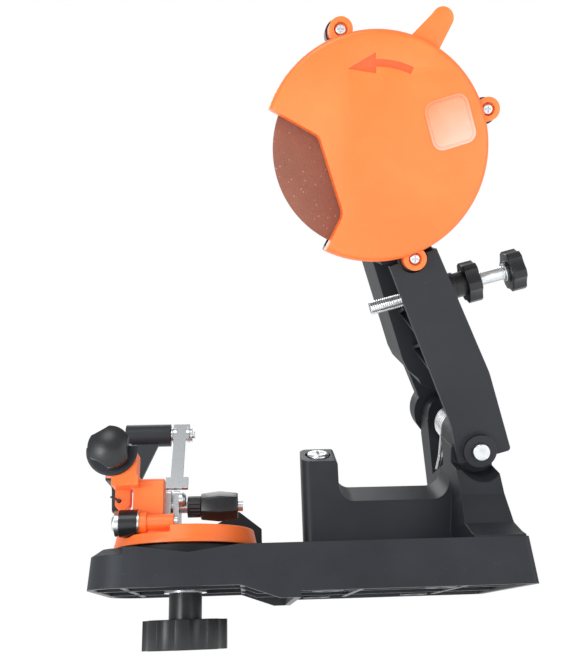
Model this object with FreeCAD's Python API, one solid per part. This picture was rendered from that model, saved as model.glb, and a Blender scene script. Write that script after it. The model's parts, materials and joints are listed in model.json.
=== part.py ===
import FreeCAD, Part
import os
from math import cos, pi, radians, sin, tan
from FreeCAD import Matrix, Placement, Rotation, Vector

# Bench-mounted electric chain sharpener, millimetres, +Z up.
# The origin is the centre of the four bench bolts, on the bench top. The front of the machine faces -Y.
# The head swings about an axle that rises towards the back, so the head is modelled in its own frame:
# x to the right, v up in the plane of the grinding wheel, and depth along the axle, away from the user.

# ---------------------------------------------------------------- driving dimensions
running_gap = 0.05            # radial, shafts in their holes
seat_gap = 0.3                # between faces that slide past each other
head_tilt = 30.0              # the axle's rise above the bench, degrees

# base
deck_height = 23.5
base_left = -151.0
base_right = 77.0
base_front = -50.0
base_back = 60.0
base_wall = 3.0
base_draft = 2.0
left_corner = 20.0
right_corner = 4.0
overhang_underside = 3.8      # height of the part of the base that overhangs the bench edge
stop_lip_depth = 3.0          # how far the lip reaches below the bench top
stop_lip_right = -43.5
stop_lip_width = 9.9
stop_lip_ramp = 19.6
shoulder_width = 6.5
shoulder_drop = 4.0
notch_width = 51.0
notch_depth = 3.5
rib_thickness = 2.5
bench_bolt_spacing_x = 58.0
bench_bolt_spacing_y = 72.0
bench_bolt_hole = 3.5
bench_boss = 8.0
backstop_left = -88.5
backstop_heel = 44.5
backstop_knee = -74.3
backstop_right = -60.4
backstop_top = 52.2
backstop_shoulder = 41.3
backstop_near = 42.0
backstop_thickness = 8.0

# post with the depth stop, and the wall that ties it to the tower
post_left = -37.1
post_width = 21.0
wall_near = 2.2
wall_thickness = 19.6
post_top_v = -9.1
ledge_v = -29.5
stop_head = 6.5
stop_recess = 7.6
stop_recess_depth = 1.2
stop_thread = 2.5

# tower and pivot
pivot_x = 63.6
pivot_y = -19.0
pivot_z = 72.6
pin_radius = 5.0
pin_length = 117.0
tower_left = 49.1
tower_right = 73.5
toe_run = 2.4                 # how far the tower's left edge spreads towards its foot
tower_face = ((-46.5, 24.5), (-41.0, 26.5), (-29.5, 32.7), (-19.5, 49.5), (-13.0, 70.0))
tower_top_radius = 14.0
near_wall_front = 12.0
slot_near = 13.5              # the spring's slot has upright walls
slot_far = 43.7
slot_floor = 73.0
far_wall_back = 90.0
flange_clearance = 15.0
flange_sweep = ((-11.8, -9.4), (60.0, 10.4))   # line that the arm's lower edge rises from

# grinding wheel and head
wheel_x = -63.0
wheel_v = 168.1
wheel_radius = 54.0
wheel_bore = 11.1
wheel_thickness = 3.2
wheel_front = 8.4
clamp_flange_radius = 20.0
clamp_flange_thickness = 4.0
spindle_radius = 4.0
guard_radius = 60.2
guard_wall = 2.2
cover_front = -5.0
guard_split = 8.1
guard_back = 18.2
ear_angles = (107.9, 18.9, -69.2)
ear_circle = guard_radius + 2.3
cover_ear = 6.2
rear_ear = 7.2
cover_screw = 2.0
cut_corners = ((-54.5, 24.6), (-33.2, 14.9), (-17.2, -34.4), (-26.3, -53.2))
tab_angle = 62.7
tab_root_angle = 65.5
tab_reach = guard_radius + 14.0
tab_tip = 5.7
tab_half_root = 8.6
label_centre = (38.0, 13.0)
label_size = (23.7, 25.9)
label_corner = 5.5
label_turn = 17.0
label_thickness = 0.4

# arm
arm_left = ((-11.4, -8.8), (-16.0, 14.0), (-53.5, 105.2))
arm_right = ((18.8, -0.5), (4.5, 45.0), (-27.7, 115.0))
flange_front = 6.0
flange_thickness = 5.0
channel_back = 55.0
far_leg_front = 92.0
far_leg_back = 107.0
far_leg_radius = 19.0
spine_thickness = 4.5
arm_wall = 3.0
motor_radius = 32.0
motor_wall = 3.0
motor_back = 110.0
end_cap_back = 126.0
cap_screw_circle = 26.4
cap_screw_angles = (90, 210, 330)
rear_screw_circle = 26.0
rear_screw_angles = (30, 150, 270)
small_screw = (2.9, 2.0, 1.5, 9.5)     # head radius, head height, shank radius, length

# depth screw
depth_tip = (-60.2, 79.0)
depth_angle = 14.6
depth_at = 30.0
depth_radius = 4.0
depth_length = 89.5
depth_knob_start = depth_length - 6.7
depth_knob_thickness = 8.0
hand_knob_radius = 12.3
lock_hub_start = 46.8
lock_hub_radius = 8.2
lock_disc_start = 56.5
lock_disc_thickness = 8.0

# turntable and vise
turn_x = -103.2
turn_radius = 39.2
turn_low = 26.3
turn_top = 35.5
disc_plate = 2.6
sector_top = 31.4
sector_right = -109.0
sector_back = -17.0
pedestal_radius = 34.0
pedestal_top = 26.0
turn_bolt_radius = 4.0
lock_knob_top = -10.7
lock_knob_thickness = 15.0
lock_knob_radius = 22.6
lock_stem_radius = 8.9
jaw_gap_left = -111.6
jaw_gap = 1.5
jaw_thickness = 3.0
jaw_near = -8.0
jaw_far = 14.0
jaw_low = 38.5
jaw_top = 57.8
stud_y = 1.0
stud_z = 49.5
stud_radius = 3.0
clamp_knob_left = -95.2
clamp_knob_length = 20.8
clamp_knob_radius = 8.7
guide_y = -25.0
guide_z = 37.8
guide_radius = 2.5
bush_radius = 7.1
feed_x = -141.2
feed_z = 75.5
feed_barrel = 10.4
feed_collar = 13.6
feed_collar_thickness = 2.0
feed_front = -33.0
feed_back = -19.0
feed_radius = 3.0
feed_knob_near = -46.0
feed_knob_thickness = 10.5
tube_y = 34.0
tube_z = 99.0
tube_radius = 6.9
tube_left = -143.4
tube_right = -116.1
pawl_pin = 2.5
pawl_left = -114.3
pawl_width = 10.0
pawl_sheet = 2.0

# ---------------------------------------------------------------- frames
tilt = radians(head_tilt)
AXLE = Vector(0, cos(tilt), sin(tilt))
UP = Vector(0, -sin(tilt), cos(tilt))
RIGHT = Vector(1, 0, 0)
PIVOT = Vector(pivot_x, pivot_y, pivot_z)
HEAD = Placement(Matrix(1, 0, 0, PIVOT.x,
                        0, UP.y, -AXLE.y, PIVOT.y,
                        0, UP.z, -AXLE.z, PIVOT.z,
                        0, 0, 0, 1))
FRONT = Placement(Vector(0, 0, 0), Rotation(Vector(1, 0, 0), 90))
SIDE = Placement(Matrix(0, 0, 1, 0,
                        1, 0, 0, 0,
                        0, 1, 0, 0,
                        0, 0, 0, 1))
Z_AXIS = Vector(0, 0, 1)
Y_AXIS = Vector(0, 1, 0)


def head(x, v, depth):
    """World point of a place in the head's frame."""
    return PIVOT + RIGHT * x + UP * v + AXLE * depth


def head_dir(angle):
    """World direction at an angle in the wheel's plane."""
    return RIGHT * cos(radians(angle)) + UP * sin(radians(angle))


def polar(radius, angle):
    return radius * cos(radians(angle)), radius * sin(radians(angle))


# ---------------------------------------------------------------- shape helpers
def rounded_wire(corners):
    """Closed outline through (x, y, radius) corners, each rounded by its own radius."""
    points = [Vector(c[0], c[1], 0) for c in corners]
    radii = [c[2] if len(c) > 2 else 0 for c in corners]
    count = len(points)
    starts, ends, arcs = [], [], []
    for i, here in enumerate(points):
        before = (points[i - 1] - here).normalize()
        after = (points[(i + 1) % count] - here).normalize()
        if radii[i] <= 0:
            starts.append(here)
            ends.append(here)
            arcs.append(None)
            continue
        half = before.getAngle(after) / 2
        run = radii[i] / tan(half)
        centre = here + (before + after).normalize() * (radii[i] / sin(half))
        middle = centre + (here - centre).normalize() * radii[i]
        starts.append(here + before * run)
        ends.append(here + after * run)
        arcs.append(Part.Arc(starts[-1], middle, ends[-1]).toShape())
    edges = []
    for i in range(count):
        if arcs[i]:
            edges.append(arcs[i])
        following = starts[(i + 1) % count]
        if ends[i].distanceToPoint(following) > 1e-6:
            edges.append(Part.makeLine(ends[i], following))
    return Part.Wire(edges)


def prism(corners, low, high):
    face = Part.Face(rounded_wire(corners))
    face.translate(Vector(0, 0, low))
    return face.extrude(Vector(0, 0, high - low))


def placed(shape, placement):
    shape = shape.copy()
    shape.Placement = placement.multiply(shape.Placement)
    return shape


def head_prism(corners, near, far):
    """Outline in the head's plane, from one depth to another."""
    return placed(prism(corners, -far, -near), HEAD)


def front_prism(corners, near, far):
    """Outline in X and Z, from one Y to another."""
    return placed(prism(corners, -far, -near), FRONT)


def side_prism(corners, left, right):
    """Outline in Y and Z, from one X to another."""
    return placed(prism(corners, left, right), SIDE)


def box(low, high):
    size = [b - a for a, b in zip(low, high)]
    return Part.makeBox(*size, Vector(*low))


def rod(start, end, radius):
    along = end - start
    return Part.makeCylinder(radius, along.Length, start, along)


def tube(start, end, radius, bore):
    """A pipe, with its bore cut clean through."""
    along = (end - start).normalize()
    return rod(start, end, radius).cut(rod(start - along, end + along, bore))


def head_rod(x, v, near, far, radius):
    return rod(head(x, v, near), head(x, v, far), radius)


def lathe(corners, base, axis):
    """Turned solid: (radius, height, corner radius) points about an axis."""
    face = Part.Face(rounded_wire(corners))
    solid = face.revolve(Vector(0, 0, 0), Y_AXIS, 360)
    return placed(solid, Placement(base, Rotation(Y_AXIS, axis)))


def head_lathe(corners, x=wheel_x, v=wheel_v):
    """Turned about the head's own axle direction; heights are depths."""
    return lathe(corners, head(x, v, 0), AXLE)


def plate(start, end, across, thickness):
    """Flat sheet from start to end, as wide as the vector across, centred on its middle plane."""
    normal = (end - start).cross(across).normalize() * thickness
    corner = start - normal * 0.5
    face = Part.Face(Part.makePolygon([corner, corner + (end - start), corner + (end - start) + across,
                                       corner + across, corner]))
    return face.extrude(normal)


def polygon_corners(sides, radius, turn=0.0, centre=(0.0, 0.0)):
    return [(centre[0] + radius * cos(radians(turn + 360.0 * i / sides)),
             centre[1] + radius * sin(radians(turn + 360.0 * i / sides))) for i in range(sides)]


def hexagon(base, axis, across_flats, height):
    solid = prism(polygon_corners(6, across_flats / 2 / cos(pi / 6)), 0, height)
    return placed(solid, Placement(base, Rotation(Z_AXIS, axis)))


def nut(base, axis, across_flats, height, bore=0.0):
    """Hexagon with its outer corners turned off."""
    corner = across_flats / 2 / cos(pi / 6)
    solid = hexagon(base, axis, across_flats, height)
    turned = lathe([(0, 0), (across_flats / 2, 0), (corner, height * 0.12), (corner, height * 0.88),
                    (across_flats / 2, height), (0, height)], base, axis)
    solid = solid.common(turned)
    return solid.cut(rod(base - axis, base + axis * (height + 1), bore)) if bore else solid


def pan_screw(seat, into, head_radius, head_height, shank_radius, length):
    """Cross-headed screw: the head stands off its seat, the shank goes into the material."""
    out = into * -1
    screw = lathe([(0, 0), (head_radius, 0), (head_radius, head_height, head_height * 0.6),
                   (0, head_height)], seat, out)
    screw = screw.fuse(rod(seat - into * 0.01, seat + into * length, shank_radius))
    side = into.cross(RIGHT if abs(into.x) < 0.9 else Z_AXIS).normalize()
    for arm in (side, into.cross(side).normalize()):
        slot = plate(seat + out * head_height * 0.35 - arm * head_radius * 0.6,
                     seat + out * head_height * 0.35 + arm * head_radius * 0.6,
                     out * head_height, head_radius * 0.22)
        screw = screw.cut(slot)
    return screw


def lobed_knob(base, axis, radius, thickness, lobes, scallop, bite, edge, bore, turn=0.0):
    """Hand knob: a round-edged disc with a scallop between each pair of lobes."""
    solid = lathe([(0, 0), (radius, 0, edge), (radius, thickness, edge), (0, thickness)], Vector(0, 0, 0), Z_AXIS)
    for i in range(lobes):
        x, y = polar(radius + scallop - bite, turn + 360.0 * i / lobes)
        solid = solid.cut(Part.makeCylinder(scallop, thickness + 2, Vector(x, y, -1)))
    solid = placed(solid, Placement(base, Rotation(Z_AXIS, axis)))
    return solid.cut(rod(base - axis, base + axis * (thickness + 1), bore)) if bore else solid


def clean(shape):
    """One solid with its split faces joined."""
    merged = shape.removeSplitter()
    if len(merged.Solids) == 1:
        return merged.Solids[0]
    return Part.makeCompound(merged.Solids)


parts = {}

# ---------------------------------------------------------------- base
def base_outline(inset, height):
    left, right = base_left + inset, base_right - inset
    near, far = base_front + inset, base_back - inset
    wire = rounded_wire([(left, near, left_corner - inset), (right, near, right_corner - inset * 0.5),
                         (right, far, right_corner - inset * 0.5), (left, far, left_corner - inset)])
    wire.translate(Vector(0, 0, height))
    return wire


def base_block(inset, low, high, draft):
    return Part.makeLoft([base_outline(inset, low), base_outline(inset + draft, high)], True, True)


def tower_block():
    """Both walls of the tower before the spring slot and the axle clearances are cut."""
    axle_far = head(0, tower_top_radius, far_wall_back)
    heel = head(0, -tower_top_radius, far_wall_back)
    side = side_prism([(tower_face[0][0], deck_height - 3), *tower_face, (tower_face[-1][0], 100.0),
                       (axle_far.y, axle_far.z + 5), (heel.y, heel.z), (base_back - 4, deck_height),
                       (base_back - 4, deck_height - 3)], base_left, base_right)
    front = front_prism([(tower_left, deck_height - 3), (tower_right, deck_height - 3),
                         (tower_right, 140.0), (tower_left, 140.0)], base_front, base_back + 20)
    toe_z, bend_z = tower_face[2][1], tower_face[3][1]
    spread = front_prism([(tower_left - toe_run, deck_height - 3), (tower_left + 6, deck_height - 3),
                          (tower_left + 6, bend_z), (tower_left, bend_z), (tower_left - toe_run, toe_z)],
                         base_front, wall_near + 1)
    return front.fuse(spread).common(side)


def head_block(left, right, low, high, near, far):
    return head_prism([(left, low), (right, low), (right, high), (left, high)], near, far)


def tie_wall():
    """Post, ledge and the wall below them: vertical sides, a top that follows the tilted head."""
    block = prism([(post_left, wall_near, 5), (tower_left + 4, wall_near), (tower_left + 4, wall_near + wall_thickness),
                   (post_left, wall_near + wall_thickness, 5)], deck_height - 3, 130)
    post_right = post_left + post_width - pivot_x
    air = head_prism([(post_left - pivot_x - 30, post_top_v), (post_right, post_top_v, 2.0), (post_right, ledge_v, 8.0),
                      (tower_left - pivot_x, ledge_v, 11.0), (tower_left - pivot_x, 90), (post_left - pivot_x - 30, 90)],
                     -60, 120)
    return block.cut(air)


post_centre = (post_left + post_width / 2 - pivot_x, post_top_v)
stop_depth = (Vector(0, wall_near + wall_thickness / 2, 80) - PIVOT).dot(AXLE)


def make_base():
    solid = base_block(0, -stop_lip_depth, deck_height, base_draft)
    ramp_end = stop_lip_right - stop_lip_width
    below = front_prism([(base_left - 5, -20), (base_left - 5, overhang_underside),
                         (ramp_end - stop_lip_ramp, overhang_underside, 6),
                         (ramp_end, -stop_lip_depth, 3), (stop_lip_right, -stop_lip_depth), (stop_lip_right, 0),
                         (base_right + 5, 0), (base_right + 5, -20)], base_front - 5, base_back + 5)
    solid = solid.cut(below)
    # the left end steps down to a lower shoulder
    top = deck_height + 1
    shoulder = box((base_left - 1, base_front - 1, deck_height - shoulder_drop),
                   (base_left + left_corner, base_back + 1, top))
    keep = Part.makeLoft([base_outline(0.8, deck_height - shoulder_drop - 0.2),
                          base_outline(shoulder_width + base_draft, top)], True, True)
    solid = solid.cut(shoulder.cut(keep))
    # a shallow notch in front of the turntable, to read its angle
    notch = front_prism([(turn_x + 4.3 - notch_width / 2, deck_height), (turn_x + 4.3, deck_height - notch_depth, 8),
                         (turn_x + 4.3 + notch_width / 2, deck_height), (turn_x + 4.3 + notch_width / 2, deck_height + 5),
                         (turn_x + 4.3 - notch_width / 2, deck_height + 5)], base_front - 1, base_front + 20)
    solid = solid.cut(notch)
    # hollow underneath, with ribs, bolt bosses and the turntable seat left standing
    hollow = base_block(base_wall, -stop_lip_depth - 2, deck_height - base_wall, base_draft)
    keep_parts = [box((stop_lip_right - base_wall, base_front, -stop_lip_depth), (stop_lip_right, base_back, deck_height))]
    for y in (base_front + 32.0, base_back - 36.0):
        keep_parts.append(box((base_left, y, 0.8), (base_right, y + rib_thickness, deck_height)))
    for x in (turn_x - 30.0, turn_x + 30.0, -12.0, tower_left - 6.0):
        keep_parts.append(box((x, base_front, 4.2 if x < stop_lip_right else 0.8),
                              (x + rib_thickness, base_back, deck_height)))
    for x in (-bench_bolt_spacing_x / 2, bench_bolt_spacing_x / 2):
        for y in (-bench_bolt_spacing_y / 2, bench_bolt_spacing_y / 2):
            keep_parts.append(Part.makeCylinder(bench_boss, deck_height, Vector(x, y, 0)))
    keep_parts.append(Part.makeCylinder(pedestal_radius + 12, 6, Vector(turn_x, 0, deck_height - base_wall - 5)))
    keep_parts.append(Part.makeCylinder(13.0, deck_height - 5.2, Vector(turn_x, 0, 5.2)))
    for extra in keep_parts:
        hollow = hollow.cut(extra)
    solid = solid.cut(hollow)
    solid = solid.fuse(Part.makeCylinder(pedestal_radius, pedestal_top - deck_height + 6,
                                         Vector(turn_x, 0, deck_height - 6)))
    solid = solid.fuse(front_prism([(backstop_left, deck_height - 2), (backstop_left, backstop_heel, 2),
                                    (backstop_knee, backstop_top, 1.5), (backstop_right, backstop_shoulder, 1.5),
                                    (backstop_right, deck_height - 2)],
                                   backstop_near, backstop_near + backstop_thickness))
    solid = solid.fuse(tie_wall())
    solid = solid.fuse(tower_block())
    # room for the arm's flange, its far leg and the spring, and a round top about the axle
    reach = tower_top_radius + 40
    crown = head_block(-60, 60, 0, 160, -60, 140).cut(head_rod(0, 0, -61, 141, tower_top_radius))
    solid = solid.cut(crown.common(head_block(tower_left - pivot_x - 3, 60, 0, 160, -60, 140)))
    (sweep_x, sweep_v), (rise_x, rise_v) = flange_sweep
    swept = head_prism([(-60, sweep_v), (sweep_x, sweep_v), (rise_x, rise_v), (rise_x, 60), (-60, 60)],
                       near_wall_front - reach, near_wall_front)
    solid = solid.cut(swept.common(head_block(tower_left - pivot_x - 3, 60, -20, 60, -60, 20)))
    solid = solid.cut(head_rod(0, 0, near_wall_front - reach, near_wall_front, flange_clearance))
    solid = solid.cut(head_rod(0, 0, far_wall_back, far_wall_back + reach, far_leg_radius + 1.4))
    solid = solid.cut(box((tower_left - 1, slot_near, slot_floor), (base_right + 5, slot_far, 160)))
    solid = solid.cut(head_rod(0, 0, -20, 140, pin_radius))
    # stop screw, bench bolts and turntable bolt
    screw_place = head(*post_centre, stop_depth)
    solid = solid.cut(rod(screw_place - UP * stop_recess_depth, screw_place + UP * 5, stop_recess))
    solid = solid.cut(rod(screw_place - UP * 14, screw_place, stop_thread))
    for x in (-bench_bolt_spacing_x / 2, bench_bolt_spacing_x / 2):
        for y in (-bench_bolt_spacing_y / 2, bench_bolt_spacing_y / 2):
            solid = solid.cut(Part.makeCylinder(bench_bolt_hole, 60, Vector(x, y, -10)))
    solid = solid.cut(Part.makeCylinder(turn_bolt_radius + running_gap, 60, Vector(turn_x, 0, -10)))
    return clean(solid)


parts["base_casting"] = make_base()
stop_seat = head(*post_centre, stop_depth) - UP * stop_recess_depth
parts["stop_screw"] = pan_screw(stop_seat, UP * -1, stop_head, 2.6, stop_thread, 11.0)

# ---------------------------------------------------------------- pivot
pin = head_lathe([(0, 0), (pin_radius, 0, 0.8), (pin_radius, pin_length - 4.6), (pin_radius - 0.8, pin_length - 4.6),
                  (pin_radius - 0.8, pin_length - 3.4), (pin_radius, pin_length - 3.4),
                  (pin_radius, pin_length, 0.8), (0, pin_length)], 0, 0)
parts["pivot_pin"] = pin
parts["pivot_washers"] = Part.makeCompound([
    tube(head(0, 0, flange_front + flange_thickness + seat_gap), head(0, 0, near_wall_front), 9.0, pin_radius),
    tube(head(0, 0, far_wall_back), head(0, 0, far_leg_front - seat_gap), 9.0, pin_radius)])
clip = tube(head(0, 0, pin_length - 4.5), head(0, 0, pin_length - 3.5), 8.0, pin_radius - 0.8 + 0.02)
clip = clip.cut(head_block(-2.6, 2.6, -20, 0, 100, 130))
parts["pivot_clip"] = clip

coil_radius = 10.6
coil_wire = 1.4
leg_wire = 1.37               # the legs and their bends differ a hair from the coil, so that their faces meet cleanly
bend_wire = 1.44
coil_pitch = 3.0
coil_turns = 5.25
coil_start = 48.0
coil_end = coil_start + coil_pitch * coil_turns
upper_leg_end = (2.5, 25.0)
lower_leg_bend = (-11.6, -17.0)
lower_leg_end = (-13.2, -25.5)
notch_room = 3.6              # around the upper leg where it enters the arm
helix = Part.makeHelix(coil_pitch, coil_pitch * coil_turns, coil_radius)
profile = Part.Wire(Part.makeCircle(coil_wire, Vector(coil_radius, 0, 0), Y_AXIS))
coil = Part.Wire(helix.Edges).makePipeShell([profile], True, True)
coil = placed(coil, Placement(head(0, 0, coil_start), Rotation(Z_AXIS, AXLE).multiply(Rotation(Z_AXIS, 180))))
lower_leg = [head(-coil_radius, 0, coil_start), head(*lower_leg_bend, coil_start), head(*lower_leg_end, coil_start)]
upper_leg = [head(0, coil_radius, coil_end), head(*upper_leg_end, coil_end)]
spring = coil
for leg in (lower_leg, upper_leg):
    for start, end in zip(leg, leg[1:]):
        spring = spring.fuse(rod(start, end, leg_wire)).fuse(Part.makeSphere(bend_wire, start))
parts["torsion_spring"] = spring

# ---------------------------------------------------------------- arm
guard_clear = guard_back


def along_edge(edge, v):
    """x of an arm edge line at height v, along its upper run."""
    (x0, v0), (x1, v1) = edge[1], edge[2]
    return x0 + (x1 - x0) * (v - v0) / (v1 - v0)


def far_leg_outline():
    (lx, lv), (rx, rv) = arm_left[2], arm_right[2]
    return [(-23.0, 27.0, 3), (-25.2, 31.4, 2), (-31.8, 36.8, 5), (-35.4, 44.0, 10), (lx - 1.6, lv), (rx, rv),
            (arm_right[1][0], arm_right[1][1], 15), (11.5, 22.0, 2), (-2.0, 20.5, 8)]


def make_arm():
    left, right = arm_left, arm_right
    flange = head_prism([(*left[0], 2.0), (*left[1], 30.0), left[2], right[2], (*right[1], 15.0), (*right[0], 2.0)],
                        flange_front, flange_front + flange_thickness)
    solid = flange.fuse(head_rod(0, 0, 2.5, flange_front + 1, 9.5))
    # spine along the right edge
    (kx, kv), (tx, tv) = right[1], right[2]
    low_x = kx + (right[0][0] - kx) * (kv - 15.0) / (kv - right[0][1])
    spine = head_prism([(low_x, 15.0), (kx, kv, 15.0), (tx, tv), (tx - spine_thickness, tv - 1.8),
                        (kx - spine_thickness, kv - 1, 10.0), (low_x - spine_thickness, 15.0)],
                       flange_front, far_leg_back)
    solid = solid.fuse(spine)
    # far leg: a box with a flat left face, open at the back, and round about the axle
    leg = head_prism(far_leg_outline(), channel_back, far_leg_back)
    inner = head_prism([(-20.5, 29.0, 2), (-29.6, 38.8, 3), (-32.4, 45.0, 8), (left[2][0] + 1.6, left[2][1] + 6),
                        (right[2][0] - 6.0, right[2][1] + 6), (kx - 5.2, kv - 1, 10), (6.6, 26.0, 2), (-2.0, 24.5)],
                       channel_back + arm_wall, far_leg_back + 1)
    solid = solid.fuse(leg.cut(inner))
    boss = head_rod(0, 0, far_leg_front, far_leg_back, far_leg_radius)
    web = head_prism([(-15.6, 9.0), (17.4, 4.0), (11.5, 22.5), (-24.2, 29.5)], far_leg_front, far_leg_back)
    solid = solid.fuse(boss).fuse(web)
    # zigzag ribs across the channel
    run = Vector(left[2][0] - left[1][0], left[2][1] - left[1][1], 0).normalize()
    up_arm = RIGHT * run.x + UP * run.y
    out_arm = RIGHT * -run.y + UP * run.x
    rib_root = head(along_edge(right, 50.0) - 1.0, 50.0, 0)
    for i in range(4):
        near, far = (flange_front + 2, channel_back + 2) if i % 2 == 0 else (channel_back + 2, flange_front + 2)
        low = rib_root + up_arm * (i * 12.0)
        solid = solid.fuse(plate(low + AXLE * near, low + up_arm * 12.0 + AXLE * far, out_arm * 27.5, 1.8))
    # neck and motor barrel behind the guard
    neck_corners = [(left[2][0] - 2, left[2][1]), (tx + 2.3, tv - 5.0), (tx - 0.4, tv + 1.4), (-32.5, 150.0), (-63.0, 160.0),
                    (-90.0, 149.5)]
    neck = head_prism(neck_corners, guard_clear, far_leg_back)
    neck_air = head_prism([(left[2][0] + 4.0, left[2][1] - 6), (right[2][0] - 2.2, right[2][1] - 6),
                           (-37.0, 150.0), (-63.0, 165.0), (-84.0, 150.0)], guard_clear + arm_wall, far_leg_back + 1)
    barrel = head_rod(wheel_x, wheel_v, guard_clear, motor_back, motor_radius)
    solid = solid.fuse(neck.cut(neck_air)).fuse(barrel)
    solid = solid.cut(head_rod(wheel_x, wheel_v, guard_clear + 3.8, motor_back + 1, motor_radius - motor_wall))
    solid = solid.fuse(head_rod(wheel_x, wheel_v, guard_clear + 1, 27.4, 14.0))
    solid = solid.cut(head_rod(wheel_x, wheel_v, 20.0, 28.0, 11.0))
    solid = solid.cut(head_rod(wheel_x, wheel_v, guard_clear - 1, 21.0, 8.0))
    # wire passage from the barrel into the hollow leg
    solid = solid.cut(rod(head(wheel_x + 14, wheel_v - 34, 88), head(wheel_x + 10, wheel_v - 24, 88), 4.0))
    # bosses for the end cap screws and holes for the brushes
    for angle in cap_screw_angles:
        x, v = polar(cap_screw_circle, angle)
        solid = solid.fuse(head_rod(wheel_x + x, wheel_v + v, 98, motor_back, 3.6).common(
            head_rod(wheel_x, wheel_v, 90, motor_back, motor_radius - 1)))
        solid = solid.cut(head_rod(wheel_x + x, wheel_v + v, 103, motor_back + 1, 1.5))
    for sign in (-1, 1):
        solid = solid.cut(rod(head(wheel_x + sign * 20, wheel_v, 95), head(wheel_x + sign * 40, wheel_v, 95), 6.0))
    for angle in rear_screw_angles:
        x, v = polar(rear_screw_circle, angle)
        solid = solid.fuse(head_rod(wheel_x + x, wheel_v + v, guard_clear + 1, 28.4, 4.0).common(
            head_rod(wheel_x, wheel_v, guard_clear, 31, motor_radius - 1)))
        solid = solid.cut(head_rod(wheel_x + x, wheel_v + v, guard_clear - 1, 26.5, 2.0))
    # boss and hole for the depth screw, scoop around the lowest guard ear, bores for the axle
    s_from, s_to = depth_point(33.0), depth_point(lock_hub_start - 0.5)
    solid = solid.fuse(rod(s_from, s_to, 9.2))
    solid = solid.cut(rod(depth_point(-5), depth_point(60), 6.0))
    ex, ev = polar(ear_circle, ear_angles[2])
    solid = solid.cut(head_rod(wheel_x + ex, wheel_v + ev, -10, guard_clear, rear_ear + 0.8))
    solid = solid.cut(head_rod(0, 0, -5, flange_front + flange_thickness + 1, pin_radius + running_gap))
    solid = solid.cut(head_rod(0, 0, far_leg_front - 1, far_leg_back + 1, pin_radius + running_gap))
    # notch that takes the spring's upper arm
    notch_x, notch_v = upper_leg_end
    solid = solid.cut(head_block(notch_x - notch_room, notch_x + notch_room, 15.0, notch_v + notch_room,
                                 coil_end - notch_room, coil_end + notch_room))
    # seats for the back cover
    for x, v in back_cover_holes:
        solid = solid.fuse(head_rod(x, v, channel_back + 1, cover_seat, 3.6))
        solid = solid.cut(head_rod(x, v, cover_seat - 12, cover_seat + 1, 1.5))
    return clean(solid)


depth_dir = RIGHT * cos(radians(depth_angle)) + UP * sin(radians(depth_angle))


def depth_point(along):
    return head(depth_tip[0], depth_tip[1], depth_at) + depth_dir * along


cover_seat = far_leg_back - 2.5
back_cover_holes = ((-13.0, 33.0), (-36.0, 97.0))
parts["arm_casting"] = make_arm()

# back cover over the wiring, with switch and cable gland
cover_outline = [(-18.4, 31.0, 1), (-28.6, 39.4, 3), (-31.4, 45.2, 8), (-47.0, 100.0, 2), (-32.6, 106.0, 2),
                 (-2.4, 44.6, 8), (3.2, 28.0, 2), (-15.5, 29.4, 1)]
switch_centre = (-22.5, 72.0)
gland_centre = (-10.5, 48.0)


def switch_corners(half_width, half_height, radius):
    turn = radians(22.5)
    corners = []
    for sx, sy in ((-1, -1), (1, -1), (1, 1), (-1, 1)):
        x, y = sx * half_width, sy * half_height
        corners.append((switch_centre[0] + x * cos(turn) - y * sin(turn),
                        switch_centre[1] + x * sin(turn) + y * cos(turn), radius))
    return corners


cover = head_prism(cover_outline, cover_seat, far_leg_back)
cover = cover.cut(head_prism(switch_corners(6.6, 10.1, 1), cover_seat - 1, far_leg_back + 1))
cover = cover.cut(head_rod(*gland_centre, cover_seat - 1, far_leg_back + 1, 5.0))
for x, v in back_cover_holes:
    cover = cover.cut(head_rod(x, v, cover_seat - 1, far_leg_back + 1, 1.7))
parts["arm_back_cover"] = clean(cover)
cover_screws = [pan_screw(head(x, v, far_leg_back), AXLE * -1, *small_screw) for x, v in back_cover_holes]
switch = head_prism(switch_corners(6.5, 10.0, 1), far_leg_back - 20, far_leg_back)
switch = switch.fuse(head_prism(switch_corners(8.0, 11.5, 1.5), far_leg_back, far_leg_back + 2.0))
switch = switch.cut(head_prism(switch_corners(5.2, 8.8, 0.6), far_leg_back - 9, far_leg_back + 3))
for sign in (-1, 1):
    along = RIGHT * -sin(radians(22.5)) + UP * cos(radians(22.5))
    foot = head(*switch_centre, far_leg_back - 19.9) + along * (sign * 4.5)
    switch = switch.fuse(plate(foot, foot - AXLE * 7.0, RIGHT * 4.8, 0.8))
parts["switch_body"] = clean(switch)
rocker_axis = RIGHT * cos(radians(22.5)) + UP * sin(radians(22.5))
rocker_pivot = head(*switch_centre, far_leg_back - 3.0)
rocker_up = AXLE
rocker_along = rocker_axis.cross(rocker_up).normalize()


def rocker_point(along, up):
    return rocker_pivot + rocker_along * along + rocker_up * up


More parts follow.
